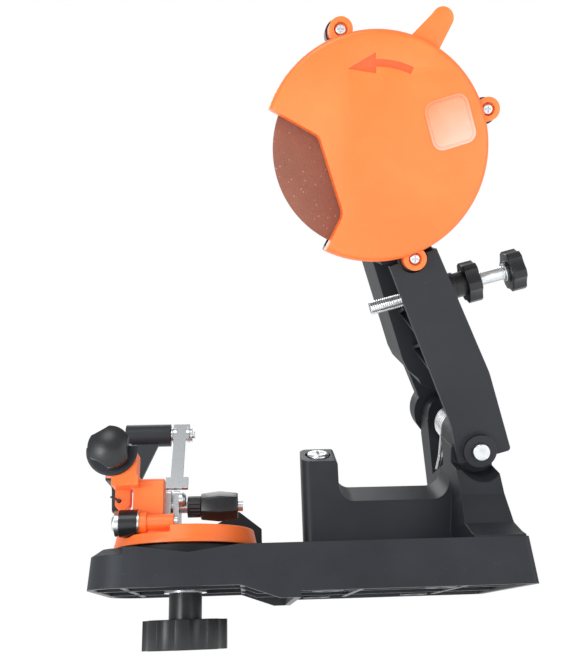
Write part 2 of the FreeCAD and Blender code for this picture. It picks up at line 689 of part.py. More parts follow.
rocker_side = [rocker_point(*p) for p in ((-6.4, 3.6), (-6.4, 7.0), (0.0, 4.4), (6.1, 4.4), (5.6, 1.4), (2.0, -2.2),
                                          (-2.0, -2.2))]
face = Part.Face(Part.makePolygon([p - rocker_axis * 4.8 for p in rocker_side + rocker_side[:1]]))
rocker = face.extrude(rocker_axis * 9.6)
parts["switch_rocker"] = rocker.cut(rod(rocker_pivot - rocker_axis * 6, rocker_pivot + rocker_axis * 6, 0.8))
gland = head_lathe([(0, far_leg_back - 5), (4.9, far_leg_back - 5), (4.9, far_leg_back), (7.0, far_leg_back),
                    (7.0, far_leg_back + 3, 1), (5.2, far_leg_back + 5), (4.2, far_leg_back + 20, 1),
                    (0, far_leg_back + 20)], *gland_centre)
gland = gland.cut(head_rod(*gland_centre, far_leg_back - 6, far_leg_back + 21, 3.0))
for i in range(3):
    d = far_leg_back + 8 + 4 * i
    gland = gland.cut(tube(head(*gland_centre, d), head(*gland_centre, d + 1.4), 8, 4.0))
parts["cable_gland"] = clean(gland)

# ---------------------------------------------------------------- motor
stator = tube(head(wheel_x, wheel_v, 43), head(wheel_x, wheel_v, 83), motor_radius - motor_wall, 25.0)
pole = tube(head(wheel_x, wheel_v, 43), head(wheel_x, wheel_v, 83), 25.5, 19.8)
pole = pole.common(head_block(wheel_x - 14, wheel_x + 14, wheel_v - 30, wheel_v + 30, 42, 84))
parts["motor_stator"] = clean(stator.fuse(pole))
field = tube(head(wheel_x, wheel_v, 38), head(wheel_x, wheel_v, 88), 24.6, 20.6)
parts["field_windings"] = Part.makeCompound(
    field.cut(head_block(wheel_x - 14.6, wheel_x + 14.6, wheel_v - 30, wheel_v + 30, 37, 89)).Solids)
armature = head_lathe([(5.0, 46), (19.0, 46), (19.0, 80), (5.0, 80)])
for i in range(12):
    d = head_dir(i * 30)
    start = head(wheel_x, wheel_v, 45) + d * 12
    armature = armature.cut(plate(start, start + AXLE * 36, d * 10, 2.0))
parts["armature_core"] = clean(armature)
parts["armature_windings"] = Part.makeCompound([
    head_lathe([(5.0, 39), (14.0, 39, 3), (17.0, 46), (5.0, 46)]),
    head_lathe([(5.0, 80), (17.0, 80), (14.0, 87, 3), (5.0, 87)])])
commutator = head_lathe([(5.0, 89), (9.0, 89), (9.0, 101), (5.0, 101)])
for i in range(12):
    d = head_dir(i * 30 + 15)
    start = head(wheel_x, wheel_v, 88) + d * 8
    commutator = commutator.cut(plate(start, start + AXLE * 14, d * 3, 0.6))
parts["commutator"] = clean(commutator)
fan = head_lathe([(5.0, 29.2), (25.5, 29.2), (25.5, 30.6), (9, 30.6), (9, 36.5), (5.0, 36.5)])
for i in range(9):
    d = head_dir(i * 40)
    start = head(wheel_x, wheel_v, 30) + d * 8.5
    fan = fan.fuse(plate(start, start + AXLE * 6.5, d * 17 + head_dir(i * 40 + 90) * 5, 1.4))
parts["cooling_fan"] = clean(fan)
parts["spindle"] = head_lathe([(0, -2.0), (spindle_radius, -2.0, 0.6), (spindle_radius, 15.6), (5.5, 15.6), (5.5, 19.7),
                               (spindle_radius, 19.7), (spindle_radius, 27.3), (5.0, 27.3), (5.0, 106.7),
                               (spindle_radius, 106.7), (spindle_radius, 115.0, 0.6), (0, 115.0)])


def bearing(near):
    """Shielded ball bearing, 22 by 8 by 7."""
    ring = head_lathe([(spindle_radius + 0.03, near), (6.0, near), (6.0, near + 0.5), (9.2, near + 0.5), (9.2, near),
                       (11.0, near, 0.3), (11.0, near + 7, 0.3), (9.2, near + 7), (9.2, near + 6.5),
                       (6.0, near + 6.5), (6.0, near + 7), (spindle_radius + 0.03, near + 7)])
    return ring


parts["front_bearing"] = bearing(20.0)
parts["rear_bearing"] = bearing(107.0)
end_cap = head_lathe([(0, motor_back), (motor_radius, motor_back), (motor_radius, end_cap_back, 4), (0, end_cap_back)])
end_cap = end_cap.cut(head_rod(wheel_x, wheel_v, motor_back - 1, end_cap_back - 2.5, motor_radius - motor_wall))
end_cap = end_cap.fuse(head_rod(wheel_x, wheel_v, 107, end_cap_back - 1, 13.5))
end_cap = end_cap.cut(head_rod(wheel_x, wheel_v, 106, 114, 11.0)).cut(head_rod(wheel_x, wheel_v, 113, 117, 8.0))
for angle in cap_screw_angles:
    x, v = polar(cap_screw_circle, angle)
    end_cap = end_cap.fuse(head_rod(wheel_x + x, wheel_v + v, motor_back, end_cap_back - 1, 4.6).common(
        head_rod(wheel_x, wheel_v, motor_back, end_cap_back - 1, motor_radius - 1)))
    end_cap = end_cap.cut(head_rod(wheel_x + x, wheel_v + v, motor_back + 3, end_cap_back + 1, 3.2))
    end_cap = end_cap.cut(head_rod(wheel_x + x, wheel_v + v, motor_back - 1, end_cap_back + 1, 1.7))
for i in range(12):
    if i % 4 != 3:
        d = head_dir(i * 30)
        start = head(wheel_x, wheel_v, end_cap_back - 4) + d * 16
        end_cap = end_cap.cut(plate(start, start + AXLE * 6, d * 10.5, 2.6))
parts["motor_end_cap"] = clean(end_cap)
for angle in cap_screw_angles:
    x, v = polar(cap_screw_circle, angle)
    cover_screws.append(pan_screw(head(wheel_x + x, wheel_v + v, motor_back + 3), AXLE * -1, *small_screw))
parts["cover_screws"] = Part.makeCompound(cover_screws)
brushes, holders, caps = [], [], []
for sign in (-1, 1):
    out = RIGHT * sign
    centre = head(wheel_x, wheel_v, 95)
    brushes.append(plate(centre + out * 9.3 - UP * 2.5, centre + out * 22 - UP * 2.5, UP * 5, 5.0))
    holder = tube(centre + out * 14, centre + out * 28.5, 5.9, 3.6)
    holders.append(holder)
    cap = rod(centre + out * 28.6, centre + out * (motor_radius + 2.0), 5.9)
    cap = cap.cut(plate(centre + out * (motor_radius + 1.0) - UP * 4.5, centre + out * (motor_radius + 1.0) + UP * 4.5,
                        out * 2.0, 1.2))
    caps.append(cap)
parts["carbon_brushes"] = Part.makeCompound(brushes)
parts["brush_holders"] = Part.makeCompound(holders)
parts["brush_caps"] = Part.makeCompound(caps)

# ---------------------------------------------------------------- grinding wheel and guard
wheel_back = wheel_front + wheel_thickness
parts["grinding_wheel"] = head_lathe([(wheel_bore, wheel_front), (wheel_radius, wheel_front, 0.3),
                                      (wheel_radius, wheel_back, 0.3), (wheel_bore, wheel_back)])
rim = clamp_flange_radius
parts["inner_flange"] = head_lathe([(spindle_radius, wheel_back + 4), (spindle_radius, wheel_front + 0.4),
                                    (wheel_bore - 0.02, wheel_front + 0.4), (wheel_bore - 0.02, wheel_back + 0.0),
                                    (rim, wheel_back), (rim, wheel_back + 2.5, 1), (12, wheel_back + 4)])
parts["outer_flange"] = head_lathe([(spindle_radius, wheel_front - 4), (12, wheel_front - 4), (rim, wheel_front - 2.5, 1),
                                    (rim, wheel_front), (14, wheel_front), (13, wheel_front - 0.8),
                                    (spindle_radius, wheel_front - 0.8)])
parts["spindle_nut"] = nut(head(wheel_x, wheel_v, -1.0), AXLE, 13.0, wheel_front - 4 + 1.0, spindle_radius)


def cut_region(margin, near, far):
    """The open side of the guard, grown by a margin on its inner edges."""
    corners = [(wheel_x + x, wheel_v + v) for x, v in cut_corners]
    (ax, av), (bx, bv), (cx, cv), (dx, dv) = corners
    far_a = (ax + (ax - bx) * 1.5 - margin * 1.2, av + (av - bv) * 1.5 + margin)
    far_d = (dx + (dx - cx) * 1.5 + margin, dv + (dv - cv) * 1.5)
    return head_prism([far_a, (bx + margin * 0.75, bv + margin * 0.95, 5), (cx + margin, cv + margin * 0.1, 7), far_d,
                       (wheel_x - 2 * guard_radius, far_d[1]), (wheel_x - 2 * guard_radius, far_a[1])], near, far)


def guard_cover():
    cover = head_lathe([(0, cover_front), (guard_radius - 0.8, cover_front, 3.5), (guard_radius, guard_split),
                        (0, guard_split)])
    for angle in ear_angles:
        x, v = polar(ear_circle, angle)
        cover = cover.fuse(head_rod(wheel_x + x, wheel_v + v, -1.0, guard_split, cover_ear))
    tip = polar(tab_reach, tab_angle)
    across = Vector(-sin(radians(tab_angle)), cos(radians(tab_angle)), 0)
    root = polar(guard_radius - 4, tab_root_angle)
    tab = [(wheel_x + root[0] + across.x * tab_half_root, wheel_v + root[1] + across.y * tab_half_root),
           (wheel_x + tip[0] + across.x * tab_tip, wheel_v + tip[1] + across.y * tab_tip),
           (wheel_x + tip[0] - across.x * tab_tip, wheel_v + tip[1] - across.y * tab_tip),
           (wheel_x + root[0] - across.x * tab_half_root, wheel_v + root[1] - across.y * tab_half_root)]
    cover = cover.fuse(head_prism(tab, 1.0, 5.0)).fuse(head_rod(wheel_x + tip[0], wheel_v + tip[1], 1.0, 5.0, tab_tip))
    inside = head_rod(wheel_x, wheel_v, cover_front + guard_wall, guard_split + 1, guard_radius - guard_wall)
    cover = cover.cut(inside.cut(cut_region(guard_wall, cover_front, guard_split + 2)))
    # the wall along the open side stops short of the wheel
    cover = cover.cut(head_rod(wheel_x, wheel_v, wheel_front - 0.9, guard_split + 1, wheel_radius + 1))
    cover = cover.cut(cut_region(0, cover_front - 5, guard_split + 5))
    for angle in ear_angles:
        x, v = polar(ear_circle, angle)
        cover = cover.cut(head_rod(wheel_x + x, wheel_v + v, -3, 1.5, 3.6))
        cover = cover.cut(head_rod(wheel_x + x, wheel_v + v, -3, guard_split + 1, cover_screw + 0.15))
    cover = cover.cut(turning_arrow())
    return clean(cover)


arrow_radius = 42.3
arrow_tip_angle = 112.0
arrow_neck_angle = 92.0
arrow_tail_angle = 65.7
arrow_half = 1.85
arrow_head_half = 5.15
arrow_depth = 0.8


def turning_arrow():
    """Shallow recess that shows which way the wheel turns."""
    start, end = head(wheel_x, wheel_v, cover_front - 1), head(wheel_x, wheel_v, cover_front + arrow_depth)
    band = rod(start, end, arrow_radius + arrow_half).cut(rod(start, end, arrow_radius - arrow_half))
    reach = 80
    wedge = [(wheel_x, wheel_v), (wheel_x + polar(reach, arrow_tail_angle)[0], wheel_v + polar(reach, arrow_tail_angle)[1]),
             (wheel_x + polar(reach, arrow_neck_angle)[0], wheel_v + polar(reach, arrow_neck_angle)[1])]
    shaft = band.common(head_prism(wedge, cover_front - 1, cover_front + arrow_depth))
    points = [polar(arrow_radius, arrow_tip_angle), polar(arrow_radius - arrow_head_half, arrow_neck_angle),
              polar(arrow_radius + arrow_head_half, arrow_neck_angle)]
    tip = head_prism([(wheel_x + x, wheel_v + v) for x, v in points], cover_front - 1, cover_front + arrow_depth)
    return shaft.fuse(tip)


def rear_guard():
    shell = head_lathe([(0, guard_split), (guard_radius, guard_split), (guard_radius - 0.4, guard_back, 2), (0, guard_back)])
    for angle in ear_angles:
        x, v = polar(ear_circle, angle)
        shell = shell.fuse(head_rod(wheel_x + x, wheel_v + v, guard_split, guard_back - 3, rear_ear))
    shell = shell.cut(head_rod(wheel_x, wheel_v, guard_split - 1, guard_back - guard_wall, guard_radius - guard_wall))
    shell = shell.cut(cut_region(0, guard_split - 2, guard_back + 2))
    shell = shell.cut(head_rod(wheel_x, wheel_v, 0, guard_back + 2, 9.0))
    for angle in ear_angles:
        x, v = polar(ear_circle, angle)
        shell = shell.cut(head_rod(wheel_x + x, wheel_v + v, guard_split - 1, guard_back - 4.5, cover_screw))
    for angle in rear_screw_angles:
        x, v = polar(rear_screw_circle, angle)
        shell = shell.cut(head_rod(wheel_x + x, wheel_v + v, guard_split, guard_back + 2, 2.1))
    return clean(shell)


parts["guard_cover"] = guard_cover()
parts["rear_guard"] = rear_guard()
parts["guard_screws"] = Part.makeCompound([
    pan_screw(head(wheel_x + polar(ear_circle, a)[0], wheel_v + polar(ear_circle, a)[1], 1.5), AXLE, 2.95, 1.8,
              cover_screw, 12.0) for a in ear_angles])
parts["rear_guard_screws"] = Part.makeCompound([
    pan_screw(head(wheel_x + polar(rear_screw_circle, a)[0], wheel_v + polar(rear_screw_circle, a)[1],
                   guard_back - guard_wall), AXLE, 3.5, 1.8, 2.0, 9.0) for a in rear_screw_angles])
turn = radians(label_turn)
label_corners = []
for sx, sy in ((-1, -1), (1, -1), (1, 1), (-1, 1)):
    x, y = sx * label_size[0] / 2, sy * label_size[1] / 2
    label_corners.append((wheel_x + label_centre[0] + x * cos(turn) - y * sin(turn),
                          wheel_v + label_centre[1] + x * sin(turn) + y * cos(turn), label_corner))
parts["blank_label"] = head_prism(label_corners, cover_front - label_thickness, cover_front)

# ---------------------------------------------------------------- depth screw
parts["depth_insert"] = tube(depth_point(36.0), depth_point(lock_hub_start - 0.5), 6.0, depth_radius + running_gap)
parts["depth_screw"] = lathe([(0, 0), (depth_radius, 0, 1.0), (depth_radius, depth_length), (0, depth_length)],
                             depth_point(0), depth_dir)
knob = lobed_knob(depth_point(depth_knob_start), depth_dir, hand_knob_radius, depth_knob_thickness, 6, 5.0, 1.6, 1.5,
                  None, 30)
knob = knob.fuse(rod(depth_point(depth_knob_start - 2), depth_point(depth_knob_start + 1), 6.0))
knob = knob.cut(rod(depth_point(70), depth_point(depth_length + running_gap), depth_radius + running_gap))
parts["depth_knob"] = clean(knob)
knob = lobed_knob(depth_point(lock_disc_start), depth_dir, hand_knob_radius, lock_disc_thickness, 6, 5.0, 1.6, 1.5,
                  None, 30)
hub = lathe([(0, 0), (lock_hub_radius, 0, 0.8), (lock_hub_radius, 4.0, 0.6), (lock_hub_radius - 0.7, 4.6, 0.3),
             (lock_hub_radius - 0.7, lock_disc_start - lock_hub_start + 1), (0, lock_disc_start - lock_hub_start + 1)],
            depth_point(lock_hub_start), depth_dir)
knob = knob.fuse(hub).cut(rod(depth_point(30), depth_point(80), depth_radius + running_gap))
parts["depth_lock_knob"] = clean(knob)

# ---------------------------------------------------------------- turntable
stud_line = Vector(0, stud_y, stud_z)
jaw_left = jaw_gap_left - jaw_thickness
block_left, block_right = -130.7, jaw_left
lug_left, lug_right = -141.1, -132.9
saddle_near, saddle_far = -30.5, -16.0
rib_near, rib_far = -29.0, -25.0


def make_turntable():
    disc = lathe([(0, turn_low), (turn_radius, turn_low), (turn_radius, turn_low + 1.5), (turn_radius - 1.8, turn_top, 1.2),
                  (0, turn_top)], Vector(turn_x, 0, 0), Z_AXIS)
    # the disc's front left sector is lower than the rest
    sector_corner = (turn_x - turn_radius - 5, -turn_radius - 5)
    hollow = Part.makeCylinder(turn_radius - 3.5, turn_top - disc_plate - turn_low, Vector(turn_x, 0, turn_low))
    hollow = hollow.cut(Part.makeCylinder(11.0, 20, Vector(turn_x, 0, turn_low)))
    hollow = hollow.cut(box((*sector_corner, sector_top - disc_plate),
                            (sector_right + disc_plate, sector_back + disc_plate, turn_top)))
    disc = disc.cut(hollow)
    disc = disc.cut(box((*sector_corner, sector_top), (sector_right, sector_back, turn_top + 1)))
    # guide boss along X, standing on the disc
    guide = Vector(0, guide_y, guide_z)
    solid = disc.fuse(rod(Vector(-125.9, 0, 0) + guide, Vector(-122.2, 0, 0) + guide, 5.7))
    solid = solid.fuse(rod(Vector(-122.5, 0, 0) + guide, Vector(-108.0, 0, 0) + guide, 4.5))
    solid = solid.fuse(box((-121.5, guide_y - 2.0, turn_top - 2), (-108.0, guide_y + 2.0, guide_z)))
    solid = solid.fuse(box((-125.9, guide_y - 1.5, sector_top - 1), (-110.0, guide_y + 1.5, guide_z)))
    # vise block, lug and the saddle that carries the stop barrel
    column = box((block_left, -14.0, turn_top - 2), (block_right, 8.0, 55.0))
    block = side_prism([(-20.0, 42.1), (-20.0, 62.5, 3), (-7.0, 62.5, 2), (-5.5, 56.0, 2), (0, 54.0), (0, 42.1)],
                       block_left, block_right)
    lug = front_prism([(lug_left, 46.2, 4.0), (lug_right, 46.2, 4.0), (lug_right, 64.0), (lug_left, 64.0)], -15.0, -7.0)
    saddle = front_prism([(lug_left, 57.0), (lug_left, 61.0, 1), (lug_left - 3.2, 65.0, 1), (lug_left - 3.2, 72.0),
                          (-128.0, 75.5, 1), (-128.0, 62.5), (-128.0, 57.0)], saddle_near, saddle_far)
    neck = box((lug_left, saddle_near, 57.0), (-127.0, -7.0, 62.5))
    solid = solid.fuse(column).fuse(block).fuse(lug).fuse(saddle).fuse(neck)
    # room for the guide's bush in the rim and under the block
    solid = solid.cut(rod(Vector(-150.0, 0, 0) + guide, Vector(-125.9, 0, 0) + guide, bush_radius + 0.4))
    solid = solid.cut(rod(Vector(feed_x, -60, feed_z), Vector(feed_x, 40, feed_z), feed_barrel + 3 * running_gap))
    solid = solid.fuse(box((feed_x - 3.2, rib_near, 62.0), (feed_x + 3.2, rib_far, feed_z + 1.0)))
    solid = solid.fuse(rod(Vector(feed_x, rib_near, feed_z), Vector(feed_x, rib_far, feed_z), 6.0))
    solid = solid.cut(rod(Vector(feed_x, -60, feed_z), Vector(feed_x, 40, feed_z), 4.5))
    # holes: lug pin, guide bolt, clamp stud and turntable bolt
    solid = solid.cut(rod(Vector(-138.9, -20, 51.3), Vector(-138.9, 0, 51.3), 1.2))
    solid = solid.cut(rod(Vector(-140, 0, 0) + guide, Vector(-100, 0, 0) + guide, guide_radius))
    solid = solid.cut(rod(Vector(-140, 0, 0) + stud_line, Vector(-60, 0, 0) + stud_line, stud_radius))
    solid = solid.cut(hexagon(Vector(block_left - 1.0, stud_y, stud_z), RIGHT, 10.0, 5.0))
    solid = solid.cut(Part.makeCylinder(turn_bolt_radius, 60, Vector(turn_x, 0, -10)))
    solid = solid.cut(hexagon(Vector(turn_x, 0, turn_top - 5.5), Z_AXIS, 13.0, 8.0))
    # slots that let the jaws' feet into the disc
    solid = solid.cut(box((jaw_left - 0.02, jaw_near - 0.3, turn_top - 1.0), (-102.5, jaw_far + 0.3, turn_top + 3)))
    return clean(solid)


parts["turntable_vise"] = make_turntable()
bolt = nut(Vector(turn_x, 0, turn_top - 5.5), Z_AXIS, 12.96, 5.3)
parts["turntable_bolt"] = clean(bolt.fuse(Part.makeCylinder(turn_bolt_radius, turn_top - 5.0 + 22.0, Vector(turn_x, 0, -22.0))))
parts["lock_washer"] = tube(Vector(turn_x, 0, 3.0), Vector(turn_x, 0, 4.9), 11.5, turn_bolt_radius + running_gap)
down = Z_AXIS * -1
knob = lobed_knob(Vector(turn_x, 0, lock_knob_top), down, lock_knob_radius, lock_knob_thickness, 8, 9.0, 2.2, 2.5, None, 22.5)
knob = knob.fuse(lathe([(0, 0), (lock_stem_radius, 0, 0.6), (lock_stem_radius, 13.0), (lock_stem_radius + 1.5, 15.0),
                        (0, 15.0)], Vector(turn_x, 0, 3.0), down))
knob = knob.cut(Part.makeCylinder(turn_bolt_radius + running_gap, 40, Vector(turn_x, 0, -22.4)))
parts["lock_knob"] = clean(knob)

# jaws, clamp stud and knob
def jaw(left):
    """Steel jaw plate with a notch for the tie straps along its top."""
    plate_shape = side_prism([(jaw_near, jaw_low, 2), (jaw_near, jaw_top, 2), (jaw_far, jaw_top, 2), (jaw_far, jaw_low, 2)],
                             left, left + jaw_thickness)
    return plate_shape.cut(rod(Vector(left - 1, 0, 0) + stud_line, Vector(left + 5, 0, 0) + stud_line,
                               stud_radius + running_gap))


moving_left = jaw_gap_left + jaw_gap
moving_right = moving_left + jaw_thickness
parts["fixed_jaw"] = jaw(jaw_left)
parts["moving_jaw"] = jaw(moving_left)
stud = nut(Vector(block_left - 0.9, stud_y, stud_z), RIGHT, 9.96, 4.8)
parts["clamp_stud"] = clean(stud.fuse(rod(Vector(-128.0, stud_y, stud_z), Vector(-71.6, stud_y, stud_z), stud_radius)))
parts["jaw_button"] = lathe([(0, 0), (4.2, 0), (4.2, 2.0, 0.8), (2.6, 3.9, 1.2), (0, 3.9)],
                            Vector(moving_right, -6.0, 52.6), RIGHT)
parts["jaw_spacer"] = tube(Vector(moving_right, stud_y, stud_z), Vector(-102.6, stud_y, stud_z), 3.4,
                           stud_radius + running_gap)
collar = tube(Vector(-102.6, stud_y, stud_z), Vector(clamp_knob_left - 0.1, stud_y, stud_z), 5.9,
              stud_radius + running_gap)
for i in range(16):
    a = radians(i * 22.5)
    start = Vector(-101.6, stud_y + 6.2 * cos(a), stud_z + 6.2 * sin(a))
    collar = collar.cut(rod(start, start + RIGHT * 10, 0.7))
parts["clamp_collar"] = clean(collar)


def faceted(left, radius):
    wire = rounded_wire(polygon_corners(6, radius, 90, (stud_y, stud_z)))
    return placed(wire, Placement(Vector(left, 0, 0), Rotation()).multiply(SIDE))


mid = clamp_knob_left + clamp_knob_length * 0.5
ends = clamp_knob_left + clamp_knob_length
knob = Part.makeLoft([faceted(clamp_knob_left, clamp_knob_radius * 0.86), faceted(mid, clamp_knob_radius)], True, True)
knob = knob.fuse(Part.makeLoft([faceted(mid, clamp_knob_radius), faceted(ends, clamp_knob_radius * 0.86)], True, True))
knob = knob.cut(rod(Vector(clamp_knob_left - 5, stud_y, stud_z), Vector(ends + 5, stud_y, stud_z),
                    stud_radius + running_gap))
parts["clamp_knob"] = clean(knob)

# guide bolt through the front boss
guide = Vector(0, guide_y, guide_z)
bolt = lathe([(0, 0), (4.2, 0, 1.4), (4.2, 1.8), (0, 1.8)], Vector(-140.5, 0, 0) + guide, RIGHT)
parts["guide_bolt"] = clean(bolt.fuse(rod(Vector(-139.0, 0, 0) + guide, Vector(-106.0, 0, 0) + guide, guide_radius)))
parts["guide_washers"] = Part.makeCompound([
    tube(Vector(-138.7, 0, 0) + guide, Vector(-136.4, 0, 0) + guide, 6.7, guide_radius),
    tube(Vector(-127.0, 0, 0) + guide, Vector(-125.9, 0, 0) + guide, 6.5, guide_radius)])
parts["guide_bush"] = tube(Vector(-136.4, 0, 0) + guide, Vector(-127.0, 0, 0) + guide, bush_radius, guide_radius)
pin_hole = Vector(-138.9, 0, 51.3)
tail_start = pin_hole + Vector(0, -15.6, 0)
parts["lug_pin"] = rod(pin_hole + Vector(0, -16.2, 0), pin_hole + Vector(0, -6.0, 0), 0.9).fuse(
    rod(tail_start, tail_start + Vector(-4.6, -0.5, 2.2), 0.5))

# ---------------------------------------------------------------- chain stop
cheek_left, cheek_right = -147.6, -141.6
cheek_front = -10.6
cheek_low, cheek_top = 63.5, 70.2


def make_bracket():
    """Barrel in front of the wheel, a low cheek that passes under it, and the pawl's tube behind it."""
    barrel = lathe([(0, 0), (feed_collar, 0, 1.0), (feed_collar, feed_collar_thickness, 0.5),
                    (feed_barrel, feed_collar_thickness), (feed_barrel, feed_back - feed_front), (0, feed_back - feed_front)],
                   Vector(feed_x, feed_front, feed_z), Y_AXIS)
    # tongue behind the barrel, inside its own outline, out to the cheek
    tongue = rod(Vector(feed_x, feed_back - 1, feed_z), Vector(feed_x, cheek_front + 2, feed_z), feed_barrel)
    tongue = tongue.common(box((cheek_left, feed_front, 50), (cheek_right, 0, cheek_top)))
    cheek = side_prism([(cheek_front, cheek_low, 1), (cheek_front, cheek_top), (24.5, cheek_top, 5), (30.0, tube_z),
                        (37.0, tube_z, 3), (33.0, 64.0, 4), (31.0, 50.0, 3), (16.0, 50.0, 3), (12.0, cheek_low, 3)],
                       cheek_left, cheek_right)
    web = plate(Vector(cheek_left + 1, 29.0, 68.0), Vector(cheek_left + 1, tube_y, tube_z), RIGHT * 34.0, 4.5)
    edge = front_prism([(cheek_left, 60), (-132.3, 60), (-132.3, 72), (-122.0, 96.5), (-122.0, 110), (tube_left, 110),
                        (tube_left, 92), (cheek_left, 84)], -10, 60)
    solid = barrel.fuse(tongue).fuse(cheek).fuse(web.common(edge))
    solid = solid.fuse(rod(Vector(tube_left, tube_y, tube_z), Vector(tube_right, tube_y, tube_z), tube_radius))
    # hollow over the saddle's rib, with a slot below for it, and a bore for the feed screw
    solid = solid.cut(rod(Vector(feed_x, rib_near - 1, feed_z), Vector(feed_x, feed_back + 1, feed_z), 7.2))
    solid = solid.cut(box((feed_x - 3.6, rib_near - 1, feed_z - 20), (feed_x + 3.6, feed_back + 1, feed_z)))
    solid = solid.cut(rod(Vector(feed_x, feed_front - 5, feed_z), Vector(feed_x, rib_near, feed_z),
                          feed_radius + running_gap))
    # the front of the barrel is planed off where the lowered guard passes over it
    solid = solid.cut(side_prism([(feed_front - 2, feed_z + 1.5), (feed_back + 5, feed_z + 8.0), (feed_front - 2, 98)],
                                 feed_x - 20, feed_x + 20))
    outside = feed_x - feed_collar - 2
    solid = solid.cut(front_prism([(outside, feed_z), (feed_x + 1.0, feed_z + feed_barrel), (outside, 92)],
                                  feed_front - 1, feed_back + 1))
    solid = solid.cut(rod(Vector(tube_right - 22, tube_y, tube_z), Vector(tube_right + 5, tube_y, tube_z), pawl_pin))
    return clean(solid)


parts["stop_bracket"] = make_bracket()
knob = lobed_knob(Vector(feed_x, feed_knob_near, feed_z), Y_AXIS, 11.1, feed_knob_thickness, 3, 30.0, 1.75, 2.5, None)
screw = rod(Vector(feed_x, feed_knob_near + 4, feed_z), Vector(feed_x, feed_back - 0.5, feed_z), feed_radius)
knob = knob.cut(rod(Vector(feed_x, feed_knob_near + 4, feed_z), Vector(feed_x, 0, feed_z), feed_radius))
neck = tube(Vector(feed_x, feed_knob_near + feed_knob_thickness - 0.5, feed_z),
            Vector(feed_x, feed_front - seat_gap, feed_z), 7.0, feed_radius)
parts["feed_knob"] = clean(knob.fuse(neck))
parts["feed_screw"] = screw
parts["feed_insert"] = tube(Vector(feed_x, rib_near, feed_z), Vector(feed_x, rib_far, feed_z), 4.5,
                            feed_radius + running_gap)


def make_pawl():
    """Sheet steel stop: a saddle round its pin, a strip and a wider foot."""
    right = pawl_left + pawl_width
    foot = Vector(0, 11.8, 59.4)
    hinge = Vector(0, tube_y, tube_z)
    along = (foot - hinge).normalize()
    face_out = Vector(0, along.z, -along.y)
    strip_left, strip_right = pawl_left + 0.6, pawl_left + 7.8
    surface = hinge + face_out * 3.6
    strip = plate(surface + along * 3 + RIGHT * strip_left, surface + along * (hinge.distanceToPoint(foot)) + RIGHT * strip_left,
                  RIGHT * (strip_right - strip_left), pawl_sheet)
    foot_start = surface + along * (hinge.distanceToPoint(foot) - 8.0)
    toe = plate(foot_start + RIGHT * (pawl_left - 2.2), foot_start + along * 8.0 + RIGHT * (pawl_left - 2.2),
                RIGHT * 13.2, pawl_sheet)
    saddle = plate(surface - along * 5 + RIGHT * pawl_left, surface + along * 7.0 + RIGHT * pawl_left,
                   RIGHT * pawl_width, pawl_sheet)
    solid = strip.fuse(toe).fuse(saddle)
    for x in (pawl_left, right - pawl_sheet):
        ear = rod(hinge + RIGHT * x, hinge + RIGHT * (x + pawl_sheet), 5.0).fuse(
            rod_box(hinge, along, face_out, x))
        solid = solid.fuse(ear)
    return clean(solid.cut(rod(hinge + RIGHT * (pawl_left - 5), hinge + RIGHT * (right + 5), pawl_pin + running_gap)))


def rod_box(hinge, along, face_out, x):
    """Cheek that joins a pin eye to the saddle's web."""
    corners = [hinge - along * 5, hinge + along * 5, hinge + along * 5 + face_out * 4, hinge - along * 5 + face_out * 4]
    corners = [c + RIGHT * x for c in corners]
    return Part.Face(Part.makePolygon(corners + corners[:1])).extrude(RIGHT * pawl_sheet)


parts["stop_pawl"] = make_pawl()
pawl_right = pawl_left + pawl_width
parts["pawl_pin"] = rod(Vector(tube_right - 21, tube_y, tube_z), Vector(pawl_right + 3.0, tube_y, tube_z), pawl_pin)
parts["pawl_clips"] = Part.makeCompound([
    tube(Vector(x, tube_y, tube_z), Vector(x + 1.0, tube_y, tube_z), 4.6, pawl_pin)
    for x in (tube_right + 0.4, pawl_right + 0.4)])

# ---------------------------------------------------------------- export
os.makedirs("parts", exist_ok=True)
for name, shape in parts.items():
    solids = len(shape.Solids)
    if not shape.isValid() or solids == 0:
        print("CHECK", name, shape.isValid(), solids)
    shape.exportStep("parts/" + name + ".step")
print(len(parts), "nodes")
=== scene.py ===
import json
from math import cos, pi, radians, sin

import bpy
from mathutils import Matrix, Vector


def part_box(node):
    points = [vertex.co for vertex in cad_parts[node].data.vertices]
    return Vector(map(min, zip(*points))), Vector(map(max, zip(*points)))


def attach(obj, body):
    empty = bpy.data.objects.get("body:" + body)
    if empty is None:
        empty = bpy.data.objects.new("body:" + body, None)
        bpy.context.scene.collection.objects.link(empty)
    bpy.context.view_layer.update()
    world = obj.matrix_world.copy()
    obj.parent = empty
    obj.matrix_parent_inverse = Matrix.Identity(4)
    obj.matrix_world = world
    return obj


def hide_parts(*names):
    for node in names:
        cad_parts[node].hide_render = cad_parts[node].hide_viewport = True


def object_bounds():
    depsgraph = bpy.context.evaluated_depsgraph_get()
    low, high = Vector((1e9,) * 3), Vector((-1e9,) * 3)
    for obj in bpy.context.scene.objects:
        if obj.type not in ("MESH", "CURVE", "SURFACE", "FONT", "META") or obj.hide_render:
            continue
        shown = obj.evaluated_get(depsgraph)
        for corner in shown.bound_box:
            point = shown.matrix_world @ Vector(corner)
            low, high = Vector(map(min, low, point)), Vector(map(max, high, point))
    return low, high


# A bench chain sharpener: a guarded grinding head that swings down on a tilted axle, over a turntable vise.
# Metres, +Z up, the front of the machine faces -Y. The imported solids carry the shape; this script gives every
# surface its finish, and models the pieces whose detail is finer than the solids hold.

